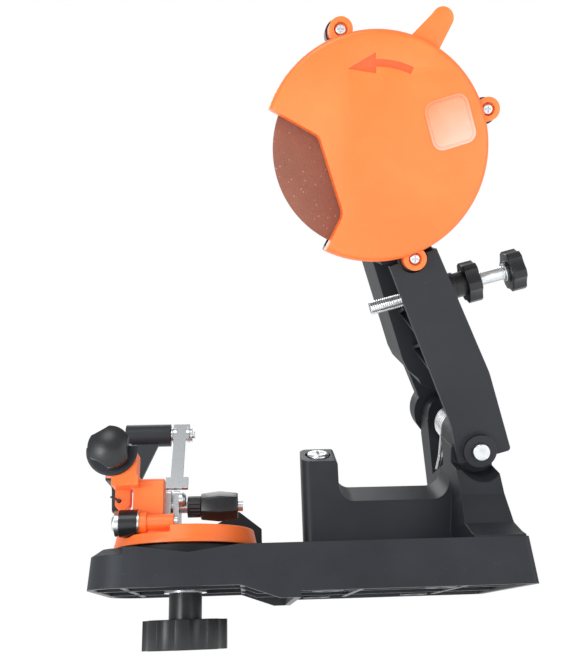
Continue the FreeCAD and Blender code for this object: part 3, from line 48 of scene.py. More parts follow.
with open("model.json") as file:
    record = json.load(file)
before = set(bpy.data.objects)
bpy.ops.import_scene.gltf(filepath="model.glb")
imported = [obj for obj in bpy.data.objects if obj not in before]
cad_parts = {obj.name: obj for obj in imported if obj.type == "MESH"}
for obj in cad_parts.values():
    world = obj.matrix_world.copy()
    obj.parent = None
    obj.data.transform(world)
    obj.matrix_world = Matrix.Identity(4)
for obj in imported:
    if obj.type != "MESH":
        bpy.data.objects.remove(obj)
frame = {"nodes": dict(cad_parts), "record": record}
cad_low, cad_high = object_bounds()
MM = 0.001

# ------------------------------------------------------------------ places taken from the frame
head_tilt = radians(30.0)
AXLE = Vector((0, cos(head_tilt), sin(head_tilt)))
UP = Vector((0, -sin(head_tilt), cos(head_tilt)))
RIGHT = Vector((1, 0, 0))
joints = {joint["name"]: joint for joint in frame["record"]["behaviour"]["joints"]}
wheel_centre = Vector(joints["wheel_spin"]["pos_m"])
depth_tip = Vector(joints["depth_knob_turn"]["pos_m"])
depth_line = Vector(joints["depth_knob_turn"]["axis"]).normalized()
WHEEL_BEHIND_HEAD_PLANE = 10.0 * MM
head_plane = wheel_centre - AXLE * WHEEL_BEHIND_HEAD_PLANE
HEAD_TURN = Matrix((RIGHT, UP, -AXLE)).transposed().to_4x4()


def centre_of(node):
    low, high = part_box(node)
    return (Vector(low) + Vector(high)) / 2


# ------------------------------------------------------------------ finishes
class Grade:
    """A number or colour that changes over a surface. Arithmetic on it adds Math nodes."""

    def __init__(self, finish, socket):
        self.finish = finish
        self.socket = socket

    def _math(self, operation, first, second, clamp=False):
        settings = {"operation": operation, "use_clamp": clamp}
        node = self.finish.node("ShaderNodeMath", settings, **{"0": first, "1": second})
        return Grade(self.finish, node.outputs[0])

    def __add__(self, other):
        return self._math("ADD", self, other)

    def __radd__(self, other):
        return self._math("ADD", other, self)

    def __sub__(self, other):
        return self._math("SUBTRACT", self, other)

    def __rsub__(self, other):
        return self._math("SUBTRACT", other, self)

    def __mul__(self, other):
        return self._math("MULTIPLY", self, other)

    def sine(self):
        return self._math("SINE", self, 0.0)

    def over(self, limit):
        return self._math("GREATER_THAN", self, limit)

    def limited(self):
        return self._math("ADD", self, 0.0, clamp=True)

    def between(self, low, high):
        """0 below low, 1 above high."""
        return self._math("MULTIPLY", self - low, 1.0 / (high - low), clamp=True)


class Finish:
    """One material: a Principled shader with what its surface needs."""

    def __init__(self, name, colour, roughness, metallic=0.0, **constants):
        self.material = bpy.data.materials.new(name)
        self.material.use_nodes = True
        self.tree = self.material.node_tree
        self.tree.nodes.clear()
        self.shader = self.tree.nodes.new("ShaderNodeBsdfPrincipled")
        output = self.tree.nodes.new("ShaderNodeOutputMaterial")
        self.tree.links.new(self.shader.outputs[0], output.inputs[0])
        self.shader.inputs["Base Color"].default_value = (*colour, 1.0)
        self.shader.inputs["Roughness"].default_value = roughness
        self.shader.inputs["Metallic"].default_value = metallic
        for slot, value in constants.items():
            self.shader.inputs[slot.replace("_", " ")].default_value = value
        self.material.diffuse_color = (*colour, 1.0)
        self.place = self.node("ShaderNodeTexCoord").outputs["Object"]

    def node(self, kind, settings=None, **values):
        made = self.tree.nodes.new(kind)
        for name, value in (settings or {}).items():
            setattr(made, name, value)
        for name, value in values.items():
            slot = made.inputs[int(name)] if name.isdigit() else made.inputs[name.replace("_", " ")]
            source = value.socket if isinstance(value, Grade) else value
            if isinstance(source, bpy.types.NodeSocket):
                self.tree.links.new(source, slot)
            else:
                slot.default_value = source
        return made

    def noise(self, size, detail=2.0, coarseness=0.5):
        """Cloudy variation with patches about as big as size, in metres."""
        made = self.node("ShaderNodeTexNoise", Vector=self.place, Scale=1.0 / size, Detail=detail,
                         Roughness=coarseness)
        return Grade(self, made.outputs["Fac"])

    def cells(self, size):
        """Distance from the middle of the nearest grain, for grains of about a size in metres."""
        made = self.node("ShaderNodeTexVoronoi", Vector=self.place, Scale=1.0 / size)
        return Grade(self, made.outputs["Distance"])

    def blend(self, factor, first, second):
        """Colour between two, by a factor from 0 to 1."""
        made = self.node("ShaderNodeMix", {"data_type": "RGBA"})
        for slot, value in ((made.inputs[0], factor), (made.inputs[6], first), (made.inputs[7], second)):
            source = value.socket if isinstance(value, Grade) else value
            if isinstance(source, bpy.types.NodeSocket):
                self.tree.links.new(source, slot)
            else:
                slot.default_value = (*source, 1.0) if isinstance(source, tuple) else source
        return Grade(self, made.outputs[2])

    def vector_math(self, operation, *values):
        slots = {str(place): value for place, value in enumerate(values)}
        return self.node("ShaderNodeVectorMath", {"operation": operation}, **slots)

    def along(self, direction):
        """Distance along a direction, in metres."""
        return Grade(self, self.vector_math("DOT_PRODUCT", self.place, tuple(direction)).outputs["Value"])

    def ring(self, centre, axis):
        """Distance from an axis, in metres."""
        offset = self.vector_math("SUBTRACT", self.place, tuple(centre))
        cross = self.vector_math("CROSS_PRODUCT", offset.outputs[0], tuple(axis))
        return Grade(self, self.vector_math("LENGTH", cross.outputs[0]).outputs["Value"])

    def rounded(self, radius):
        """Normal of a surface whose edges are eased by a radius, and how near an edge a point is."""
        eased = self.node("ShaderNodeBevel", {"samples": 6}, Radius=radius)
        flat = self.node("ShaderNodeNewGeometry").outputs["Normal"]
        facing = self.vector_math("DOT_PRODUCT", eased.outputs[0], flat)
        return eased.outputs[0], (1.0 - Grade(self, facing.outputs["Value"])).between(0.01, 0.18)

    def bump(self, height, depth, normal=None):
        """Relief that height drives, up to a depth in metres."""
        made = self.node("ShaderNodeBump", Height=height, Distance=depth)
        if normal is not None:
            self.tree.links.new(normal, made.inputs["Normal"])
        self.tree.links.new(made.outputs[0], self.shader.inputs["Normal"])

    def feed(self, name, value):
        self.tree.links.new(value.socket, self.shader.inputs[name])


CHARCOAL = (0.0125, 0.0145, 0.019)
CHARCOAL_DUST = (0.024, 0.027, 0.034)
ORANGE = (1.0, 0.165, 0.022)
ORANGE_PALE = (1.0, 0.235, 0.050)
# darker orange painted as shade on the floor of the guard's arrow recess
ORANGE_RECESS_SHADE = (0.86, 0.095, 0.012)
KNOB_BLACK = (0.010, 0.011, 0.013)
KNOB_DUST = (0.020, 0.022, 0.025)
# where the arrow's recess lies: metres in front of the head's plane, and from the wheel's axis
RECESS_TOP, RECESS_FLOOR, RECESS_BOTTOM, RECESS_REACH = 0.0046, 0.0043, 0.0035, 0.051
RINGS_PER_METRE = 5200.0
WIRE_PITCH, SHEET_PITCH = 0.0007, 0.001


def moulded(name, colour, dusty, roughness, grain, edge_radius, coat=0.0, sheen=0.5, recess=False):
    """Moulded plastic: fine spark-eroded grain, faint flow clouding, and edges that shine a little more, their
    colour painted paler: partly wear, partly painted highlight.
    """
    f = Finish(name, colour, roughness, Coat_Weight=coat, Coat_Roughness=0.3, IOR=1.5,
               Specular_IOR_Level=sheen)
    eased, edge = f.rounded(edge_radius)
    cloud = f.noise(0.035, detail=3.0)
    fine = f.noise(grain, detail=2.0)
    specks = f.noise(0.0011, detail=0.0).between(0.80, 0.84)
    tone = f.blend(cloud.between(0.35, 0.7) * 0.5, colour, dusty)
    # painted highlight: edges are painted paler, partly rubbed wear and partly painted highlight; the specks
    # are real pale grain
    rubbed_and_highlit = tuple(min(1.0, c * 1.6 + 0.03) for c in dusty)
    tone = f.blend((edge * 0.35 + specks * 0.25).limited(), tone, rubbed_and_highlit)
    if recess:
        # painted shade: the floor of the arrow, just behind the guard's face, is painted a darker orange for
        # the shade in the recess
        rise = f.along(-AXLE) - float(head_plane.dot(-AXLE))
        inside = rise.between(RECESS_TOP, RECESS_FLOOR) * rise.over(RECESS_BOTTOM)
        inside = inside * f.ring(head_plane, AXLE).between(RECESS_REACH + MM, RECESS_REACH)
        tone = f.blend(inside, tone, ORANGE_RECESS_SHADE)
    f.feed("Base Color", tone)
    f.feed("Roughness", (roughness + (cloud - 0.5) * 0.16 + (fine - 0.5) * 0.12 - edge * 0.10).limited())
    f.bump(fine * 0.75 + f.noise(0.006, detail=2.0) * 0.6, 0.00005, eased)
    return f.material


def plated(name, colour, roughness):
    """Zinc-plated or turned steel: faint crystal clouding, fine wear, and edges painted slightly brighter,
    partly wear and partly painted highlight.
    """
    f = Finish(name, colour, roughness, metallic=1.0)
    eased, edge = f.rounded(0.0003)
    cloud = f.noise(0.004, detail=4.0)
    wear = f.noise(0.00025, detail=2.0)
    dull = tuple(c * 0.80 for c in colour)
    tone = f.blend(cloud.between(0.3, 0.75), colour, dull)
    # painted highlight: edges painted brighter, partly worn bright and partly painted highlight
    tone = f.blend((edge * 0.5).limited(), tone, tuple(min(1.0, c * 1.2) for c in colour))
    f.feed("Base Color", tone)
    f.feed("Roughness", (roughness + (cloud - 0.5) * 0.22 + (wear - 0.5) * 0.16).limited())
    f.bump(wear + cloud * 0.4, 0.000006, eased)
    return f.material


def abrasive_wheel():
    """Bonded abrasive: red-brown resin full of darker and paler grit, scored in rings by dressing."""
    f = Finish("abrasive", (0.215, 0.078, 0.050), 0.86)
    eased, edge = f.rounded(0.0004)
    radius = f.ring(wheel_centre, AXLE)
    grit = f.cells(0.0009)
    fine = f.noise(0.0007, detail=3.0, coarseness=0.7)
    cloud = f.noise(0.022, detail=3.0)
    rings = (radius * RINGS_PER_METRE + cloud * 3.0).sine() * 0.5 + 0.5
    pale = f.cells(0.0034).between(0.14, 0.08)
    dark = f.noise(0.0016, detail=1.0).between(0.60, 0.72)
    tone = f.blend(cloud.between(0.3, 0.75), (0.205, 0.070, 0.045), (0.265, 0.102, 0.066))
    tone = f.blend((fine - 0.4) * 0.7, tone, (0.34, 0.15, 0.10))
    tone = f.blend(dark * 0.18, tone, (0.10, 0.035, 0.026))
    # pale grit specks are real; edges are also painted paler, partly wear and partly painted highlight
    tone = f.blend((pale * 0.55 + edge * 0.3).limited(), tone, (0.52, 0.36, 0.30))
    f.feed("Base Color", tone)
    f.feed("Roughness", (0.90 - rings * 0.06 - fine * 0.08).limited())
    f.bump(grit * 0.6 + fine + rings * 0.15, 0.00012, eased)
    return f.material


def windings():
    """Enamelled copper wire laid side by side."""
    f = Finish("copper", (0.50, 0.19, 0.07), 0.35, metallic=0.9)
    wires = (f.along(AXLE) * (2 * pi / WIRE_PITCH)).sine()
    f.feed("Base Color", f.blend(f.noise(0.006).between(0.3, 0.7), (0.56, 0.22, 0.08), (0.36, 0.12, 0.05)))
    f.bump(wires, 0.00012)
    return f.material


def stacked_steel():
    """Motor laminations: thin sheets on edge with dark joints."""
    f = Finish("laminations", (0.20, 0.20, 0.21), 0.5, metallic=0.8)
    sheets = (f.along(AXLE) * (2 * pi / SHEET_PITCH)).sine() * 0.5 + 0.5
    f.feed("Base Color", f.blend(sheets, (0.11, 0.11, 0.115), (0.30, 0.30, 0.31)))
    f.feed("Roughness", f.noise(0.003) * 0.3 + 0.35)
    f.bump(sheets, 0.00008)
    return f.material


def pressed_plate():
    """Blank label: a satin film, paler than the cover, with a painted sheen, a painted reflection, running
    across its colour.
    """
    f = Finish("label", (0.92, 0.42, 0.25), 0.34, Coat_Weight=0.35, Coat_Roughness=0.25)
    # painted reflection: the colour runs from deep orange to a pale whitish tint along this slope, a painted
    # sheen
    slope = RIGHT * 0.64 - UP * 0.77
    middle = float(centre_of("blank_label").dot(slope))
    sheen = (f.along(slope) - middle + (f.noise(0.012) - 0.5) * 0.012).between(-0.013, 0.012)
    f.feed("Base Color", f.blend(sheen, (0.88, 0.23, 0.09), (0.84, 0.44, 0.33)))
    f.feed("Roughness", f.noise(0.002) * 0.15 + 0.28)
    f.bump(f.noise(0.0015, detail=3.0), 0.00003, f.rounded(0.0004)[0])
    return f.material


finishes = {
    "black_casting": moulded("black_casting", CHARCOAL, CHARCOAL_DUST, 0.46, 0.00045, 0.0006, sheen=0.34),
    "orange_plastic": moulded("orange_plastic", ORANGE, ORANGE_PALE, 0.42, 0.0006, 0.0006, coat=0.12),
    "black_knob": moulded("black_knob", KNOB_BLACK, KNOB_DUST, 0.30, 0.0005, 0.0005, sheen=0.4),
    "abrasive": abrasive_wheel(),
    "zinc_steel": plated("zinc_steel", (0.66, 0.69, 0.71), 0.30),
    "steel": plated("steel", (0.56, 0.56, 0.57), 0.32),
    "spring_steel": plated("spring_steel", (0.80, 0.82, 0.83), 0.26),
    "black_steel": plated("black_steel", (0.06, 0.06, 0.065), 0.42),
    "brass": plated("brass", (0.80, 0.56, 0.22), 0.30),
    "copper": windings(),
    "laminations": stacked_steel(),
    "carbon": moulded("carbon", (0.022,) * 3, (0.06,) * 3, 0.6, 0.0003, 0.0003),
    "label": pressed_plate(),
    "switch_red": moulded("switch_red", (0.50, 0.020, 0.014), (0.60, 0.05, 0.03), 0.25, 0.0006, 0.0005,
                          coat=0.4),
    "rubber": moulded("rubber", (0.018,) * 3, (0.05,) * 3, 0.68, 0.0006, 0.0005),
}
# the guard's orange, with painted shade on the floor of its arrow recess
guard_finish = moulded("guard_orange", ORANGE, ORANGE_PALE, 0.42, 0.0006, 0.0005, coat=0.12, recess=True)
slot_of = {part["node"]: part["material_slot"] for part in frame["record"]["subparts"]}
for node, thing in frame["nodes"].items():
    thing.data.materials.clear()
    thing.data.materials.append(finishes[slot_of[node]])


# ------------------------------------------------------------------ modelling helpers
WELD_GAP = 1e-6


def clear_selection():
    if bpy.context.object and bpy.context.object.mode != "OBJECT":
        bpy.ops.object.mode_set(mode="OBJECT")
    bpy.ops.object.select_all(action="DESELECT")


def activate(piece):
    clear_selection()
    piece.select_set(True)
    bpy.context.view_layer.objects.active = piece


def pick_faces(piece, wanted):
    """Goes into edit mode with only the faces selected for which wanted(face) is true."""
    activate(piece)
    bpy.ops.object.mode_set(mode="EDIT")
    bpy.ops.mesh.select_mode(type="FACE")
    bpy.ops.mesh.select_all(action="DESELECT")
    bpy.ops.object.mode_set(mode="OBJECT")
    for face in piece.data.polygons:
        face.select = wanted(face)
    bpy.ops.object.mode_set(mode="EDIT")


def pick_edges(piece, wanted):
    """The same for edges: wanted is given the places of an edge's two ends."""
    activate(piece)
    bpy.ops.object.mode_set(mode="EDIT")
    bpy.ops.mesh.select_mode(type="EDGE")
    bpy.ops.mesh.select_all(action="DESELECT")
    bpy.ops.object.mode_set(mode="OBJECT")
    points = piece.data.vertices
    for edge in piece.data.edges:
        edge.select = wanted(*(points[i].co for i in edge.vertices))
    bpy.ops.object.mode_set(mode="EDIT")


def modify(piece, kind, **settings):
    activate(piece)
    modifier = piece.modifiers.new(kind, kind)
    for name, value in settings.items():
        setattr(modifier, name, value)
    bpy.ops.object.modifier_apply(modifier=modifier.name)


def ease(piece, width, segments=3, sharper_than=35.0):
    """Rounds every edge that is sharper than an angle in degrees."""
    modify(piece, "BEVEL", width=width, segments=segments, limit_method="ANGLE",
           angle_limit=radians(sharper_than), use_clamp_overlap=True, miter_outer="MITER_ARC")


def place(piece, matrix):
    """Puts a modelled piece where the matrix says, and takes its place into its mesh."""
    activate(piece)
    piece.matrix_world = matrix
    bpy.ops.object.transform_apply(location=True, rotation=True, scale=True)
    return piece


def stand(piece, base, axis, turn=0.0):
    """Moves a piece modelled on +Z so that its zero is at base and its axis along axis."""
    turned = Vector((0, 0, 1)).rotation_difference(Vector(axis)).to_matrix().to_4x4()
    return place(piece, Matrix.Translation(base) @ turned @ Matrix.Rotation(radians(turn), 4, "Z"))


def on_head(piece):
    """Moves a piece modelled flat, its front towards +Z, to the head's plane around the wheel's axis."""
    return place(piece, Matrix.Translation(head_plane) @ HEAD_TURN)


def fit_out(piece, name, body, slot, replaced=(), smooth_angle=35.0, finish=None):
    """Names a finished piece, gives it its finish and its body, and hides the nodes it stands for."""
    piece.name = name
    piece.data.name = name
    activate(piece)
    bpy.ops.object.shade_smooth_by_angle(angle=radians(smooth_angle))
    piece.data.materials.clear()
    piece.data.materials.append(finish or finishes[slot])
    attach(piece, body)
    if replaced:
        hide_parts(*replaced)
    clear_selection()
    return piece


def cylinder(radius, low, high, sides=96, at=(0.0, 0.0)):
    """Upright cylinder between two heights. Lengths in millimetres."""
    clear_selection()
    bpy.ops.mesh.primitive_cylinder_add(vertices=sides, radius=radius * MM, depth=(high - low) * MM,
                                        location=(at[0] * MM, at[1] * MM, (low + high) / 2 * MM))
    bpy.ops.object.transform_apply(location=True, rotation=True, scale=True)
    return bpy.context.object


def polar(radius, angle):
    return radius * cos(radians(angle)), radius * sin(radians(angle))


def prism(corners, low, high, grown=0.0):
    """Upright block with the given corners, clockwise, sawn side by side out of a larger one."""
    size = 3.0 * max(max(abs(c) for c in corner) for corner in corners)
    clear_selection()
    bpy.ops.mesh.primitive_cube_add(size=1.0, location=(0, 0, (low + high) / 2 * MM),
                                    scale=(size * MM, size * MM, (high - low) * MM))
    block = bpy.context.object
    bpy.ops.object.transform_apply(location=True, rotation=True, scale=True)
    bpy.ops.object.mode_set(mode="EDIT")
    for (ax, ay), (bx, by) in zip(corners, corners[1:] + corners[:1]):
        outward = Vector((ay - by, bx - ax, 0)).normalized()
        bpy.ops.mesh.select_all(action="SELECT")
        bpy.ops.mesh.bisect(plane_co=Vector((ax, ay, 0)) * MM + outward * grown * MM, plane_no=outward,
                            use_fill=True, clear_outer=True)
    bpy.ops.object.mode_set(mode="OBJECT")
    return block


def round_corner(block, corner, reach):
    """Bevels the upright edge nearest to a corner."""
    spot = Vector((corner[0], corner[1])) * MM
    near = min((v.co.xy - spot).length for v in block.data.vertices) + 0.01 * MM
    pick_edges(block, lambda a, b: (a.xy - b.xy).length < WELD_GAP and (a.xy - spot).length < near)
    bpy.ops.mesh.bevel(offset=reach * MM, segments=6, affect="EDGES")
    bpy.ops.object.mode_set(mode="OBJECT")


def join(pieces):
    clear_selection()
    for piece in pieces:
        piece.select_set(True)
    bpy.context.view_layer.objects.active = pieces[0]
    bpy.ops.object.join()
    return bpy.context.object


def carve(piece, cutter, operation="DIFFERENCE"):
    modify(piece, "BOOLEAN", operation=operation, object=cutter, solver="EXACT")
    bpy.data.objects.remove(cutter, do_unlink=True)


def weld(piece, other):
    carve(piece, other, "UNION")


def threaded(radius, length, pitch):
    """Rolled thread on +Z with chamfered ends. Lengths in millimetres."""
    root = radius - 0.6 * pitch
    chamfer, drawn_in = 0.2, 0.82
    clear_selection()
    bpy.ops.mesh.primitive_plane_add(size=1.0)
    thread = bpy.context.object
    profile = ((root, 0.0), (radius, pitch * 0.42), (radius, pitch * 0.58), (root, pitch))
    order = (0, 1, 3, 2)
    for corner, (across, along) in zip(order, profile):
        thread.data.vertices[corner].co = Vector((across, 0, along - pitch)) * MM
    bpy.ops.object.mode_set(mode="EDIT")
    bpy.ops.mesh.select_all(action="SELECT")
    bpy.ops.mesh.delete(type="ONLY_FACE")
    pick_edges(thread, lambda a, b: abs(a.z - b.z) > 0.9 * pitch * MM)
    bpy.ops.mesh.delete(type="EDGE")
    bpy.ops.object.mode_set(mode="OBJECT")
    turns = int(length / pitch) + 3
    modify(thread, "SCREW", axis="Z", angle=2 * pi, screw_offset=pitch * MM, iterations=turns, steps=24,
           render_steps=24, use_merge_vertices=True, merge_threshold=WELD_GAP)
    activate(thread)
    bpy.ops.object.mode_set(mode="EDIT")
    for height, side in ((chamfer, -1), (length - chamfer, 1)):
        bpy.ops.mesh.select_all(action="SELECT")
        bpy.ops.mesh.bisect(plane_co=(0, 0, height * MM), plane_no=(0, 0, side), use_fill=True,
                            clear_outer=True)
        # the cut's cap is pushed out and drawn in, which gives the end its chamfer
        bpy.ops.mesh.extrude_region_move(TRANSFORM_OT_translate={"value": (0, 0, side * chamfer * MM)})
        bpy.ops.transform.resize(value=(drawn_in, drawn_in, 1.0))
    bpy.ops.mesh.select_all(action="SELECT")
    bpy.ops.mesh.normals_make_consistent(inside=False)
    bpy.ops.object.mode_set(mode="OBJECT")
    return thread


def lobed_knob(radius, thickness, lobes, scallop, bite, edge, turn=0.0, dome=0.0):
    """Hand knob on +Z, scalloped between its lobes. A dome radius crowns its lower face."""
    knob = cylinder(radius, 0, thickness, sides=120)
    spots = [polar(radius + scallop - bite, turn + 360.0 * i / lobes) for i in range(lobes)]
    carve(knob, join([cylinder(scallop, -1, thickness + 1, 72, spot) for spot in spots]))
    if dome:
        clear_selection()
        bpy.ops.mesh.primitive_uv_sphere_add(segments=96, ring_count=96, radius=dome * MM,
                                             location=(0, 0, dome * MM))
        ball = bpy.context.object
        bpy.ops.object.transform_apply(location=True, rotation=True, scale=True)
        carve(knob, ball, "INTERSECT")
    ease(knob, edge * MM, 4, 30.0)
    return knob


# ------------------------------------------------------------------ depth screw and its two knobs
# Lengths in millimetres. Welded pieces run SUNK into each other, and cutters run CLEAR past what they cut.
SUNK, CLEAR, PLAY = 1.0, 10.0, 0.05
THREAD_RADIUS, THREAD_PITCH, THREAD_LENGTH = 4.0, 1.25, 89.5
BORE = THREAD_RADIUS + PLAY
HAND_KNOB = dict(radius=12.1, thickness=8.0, lobes=6, scallop=14.0, bite=1.3, edge=0.9, turn=30.0)
# distances along the screw from its tip
END_KNOB_AT, LOCK_DISC_AT, LOCK_HUB_AT = 82.8, 56.5, 46.8
BOSS_RADIUS, BOSS_HEIGHT = 6.4, 0.8
COLLAR_RADIUS, COLLAR_BACK, COLLAR_FRONT, COLLAR_EDGE = 5.3, -2.0, -0.75, 0.3
LOCK_HUB_RADIUS, LOCK_HUB_LENGTH, LOCK_HUB_EDGE = 8.2, 4.0, 0.6
LOCK_NECK_RADIUS, LOCK_NECK_LENGTH = LOCK_HUB_RADIUS - 0.9, 6.0


def along_depth(distance):
    return depth_tip + depth_line * distance * MM


bright_zinc = plated("bright_zinc", (0.95, 0.98, 1.0), 0.22)
screw = stand(threaded(THREAD_RADIUS, THREAD_LENGTH, THREAD_PITCH), depth_tip, depth_line)
fit_out(screw, "depth_screw_thread", "depth_screw", "zinc_steel", ["depth_screw"], finish=bright_zinc)

knob = lobed_knob(**HAND_KNOB)
weld(knob, cylinder(BOSS_RADIUS, -BOSS_HEIGHT, SUNK))
carve(knob, cylinder(BORE, -CLEAR, THREAD_LENGTH - END_KNOB_AT + PLAY))
stand(knob, along_depth(END_KNOB_AT), depth_line)
fit_out(knob, "depth_hand_knob", "depth_knob", "black_knob", ["depth_knob"])

collar = cylinder(COLLAR_RADIUS, COLLAR_BACK, COLLAR_FRONT)
ease(collar, COLLAR_EDGE * MM, 2)
carve(collar, cylinder(BORE, -CLEAR, CLEAR))
stand(collar, along_depth(END_KNOB_AT), depth_line)
fit_out(collar, "depth_knob_collar", "depth_knob", "zinc_steel")

knob = lobed_knob(**HAND_KNOB)
hub_start = LOCK_HUB_AT - LOCK_DISC_AT
hub = cylinder(LOCK_HUB_RADIUS, hub_start, hub_start + LOCK_HUB_LENGTH)
ease(hub, LOCK_HUB_EDGE * MM, 3)
weld(hub, cylinder(LOCK_NECK_RADIUS, -LOCK_NECK_LENGTH, SUNK))
weld(knob, hub)
carve(knob, cylinder(BORE, -CLEAR, 2 * CLEAR))
stand(knob, along_depth(LOCK_DISC_AT), depth_line)
fit_out(knob, "depth_lock_disc", "depth_lock", "black_knob", ["depth_lock_knob"])

# ------------------------------------------------------------------ knobs of the vise
FEED_AT = Vector((-141.2, -46.0, 75.5)) * MM
FEED_KNOB = dict(radius=11.1, thickness=10.5, lobes=3, scallop=30.0, bite=1.75, edge=1.5, turn=0.0, dome=19.0)
FEED_NECK_RADIUS, FEED_NECK_START, FEED_NECK_END = 7.0, 9.0, 12.7
FEED_BORE, FEED_BORE_START = 3.0, 4.0
knob = lobed_knob(**FEED_KNOB)
weld(knob, cylinder(FEED_NECK_RADIUS, FEED_NECK_START, FEED_NECK_END))
carve(knob, cylinder(FEED_BORE, FEED_BORE_START, 2 * CLEAR))
stand(knob, FEED_AT, (0, 1, 0))
fit_out(knob, "feed_hand_knob", "feed_knob", "black_knob", ["feed_knob"])

UNDER_KNOB_AT = Vector((-103.2, 0.0, -10.7)) * MM
UNDER_KNOB = dict(radius=22.6, thickness=15.0, lobes=8, scallop=9.0, bite=2.2, edge=2.2, turn=22.5)
STEM_RADIUS, STEM_LENGTH, STEM_BORE_DEPTH = 8.9, 13.7, 11.7
knob = lobed_knob(**UNDER_KNOB)
weld(knob, cylinder(STEM_RADIUS, -STEM_LENGTH, SUNK))
carve(knob, cylinder(BORE, -2 * CLEAR, STEM_BORE_DEPTH))
stand(knob, UNDER_KNOB_AT, (0, 0, -1))
fit_out(knob, "turntable_hand_knob", "turntable_lock", "black_knob", ["lock_knob"])

CLAMP_AT = Vector((-95.2, 1.0, 49.5)) * MM
CLAMP_LENGTH, CLAMP_RADIUS, CLAMP_TAPER, CLAMP_EDGE, CLAMP_BORE = 20.8, 8.7, 0.86, 0.7, 3.05
knob = cylinder(CLAMP_RADIUS * CLAMP_TAPER, 0, CLAMP_LENGTH, sides=6)
activate(knob)
bpy.ops.object.mode_set(mode="EDIT")
bpy.ops.mesh.select_all(action="SELECT")
bpy.ops.mesh.bisect(plane_co=(0, 0, CLAMP_LENGTH / 2 * MM), plane_no=(0, 0, 1))
bpy.ops.transform.resize(value=(1 / CLAMP_TAPER, 1 / CLAMP_TAPER, 1))
bpy.ops.object.mode_set(mode="OBJECT")
ease(knob, CLAMP_EDGE * MM, 3, 30.0)
carve(knob, cylinder(CLAMP_BORE, -SUNK, CLAMP_LENGTH + SUNK))
stand(knob, CLAMP_AT, (1, 0, 0), 30.0)
fit_out(knob, "clamp_hand_knob", "clamp_knob", "black_knob", ["clamp_knob"])

# ------------------------------------------------------------------ wheel guard and its plate
# Millimetres about the wheel's axis: right and up in the head's plane, heights in front of it.
GUARD_RADIUS, GUARD_WALL, COVER_FRONT, COVER_BACK = 60.2, 2.2, 5.0, -8.1
FACE_DRAWN_IN, FACE_ROUNDING, COVER_EDGE = 0.8, 3.5, 0.35
SEAT_RADIUS, SEAT_DEPTH = 55.0, -7.5
EAR_ANGLES, EAR_CIRCLE, EAR_RADIUS, EAR_FRONT = (107.9, 18.9, -69.2), 62.5, 6.2, 1.0
SCREW_SEAT_RADIUS, SCREW_SEAT_FROM, SCREW_HOLE_RADIUS = 3.6, -1.5, 2.15
TAB_TIP, TAB_ROOT, TAB_ACROSS = polar(74.2, 62.7), polar(56.2, 65.5), polar(1.0, 152.7)
TAB_TIP_RADIUS, TAB_ROOT_HALF, TAB_BACK, TAB_FRONT = 5.7, 8.6, -5.0, -1.0
OPEN_SIDE = [(-54.5, 24.6), (-33.2, 14.9), (-17.2, -34.4), (-26.3, -53.2)]
OPEN_SIDE_FAR, OPEN_SIDE_TOP, OPEN_SIDE_ROUNDING = 130.0, 60.0, (2.2, 2.8)
ARROW_RADIUS, ARROW_WIDTH, ARROW_HEAD_HALF, ARROW_DEPTH = 42.3, 3.7, 5.15, 0.8
ARROW_TAIL, ARROW_NECK, ARROW_TIP = 65.7, 92.0, 112.0
LABEL_WIDE, LABEL_HIGH, LABEL_CORNER, LABEL_THICK = 23.7, 25.9, 5.5, 0.4
LABEL_AT, LABEL_TURN = (38.0, 13.0), 17.0
# insets of the label's face, each with how far it rises: border, step down, frame line, step up
LABEL_FRAME = ((1.0, 0.0), (0.2, -0.3), (0.6, 0.0), (0.2, 0.15))


def open_side(low, high, grown=0.0):
    """The guard's open side: everything left of the line through its four corners."""
    (ax, ay), (bx, by), (cx, cy), (dx, dy) = OPEN_SIDE
    far = OPEN_SIDE_FAR
    corners = [(ax - (bx - ax) * 3, ay - (by - ay) * 3), (bx, by), (cx, cy),
               (dx - (cx - dx) * 3, dy - (cy - dy) * 3), (-far, -far), (-far, OPEN_SIDE_TOP)]
    block = prism(corners, low, high, grown)
    for corner, reach in zip(OPEN_SIDE[1:3], OPEN_SIDE_ROUNDING):
        round_corner(block, corner, reach)
    return block


def lifting_tab():
    """The tab that leans out of the cover's top, narrowing to a round tip."""
    corners = [(spot[0] + TAB_ACROSS[0] * half, spot[1] + TAB_ACROSS[1] * half)
               for spot, half in ((TAB_ROOT, TAB_ROOT_HALF), (TAB_TIP, TAB_TIP_RADIUS),
                                  (TAB_TIP, -TAB_TIP_RADIUS), (TAB_ROOT, -TAB_ROOT_HALF))]
    tab = prism(corners, TAB_BACK, TAB_FRONT)
    weld(tab, cylinder(TAB_TIP_RADIUS, TAB_BACK, TAB_FRONT, 64, TAB_TIP))
    return tab


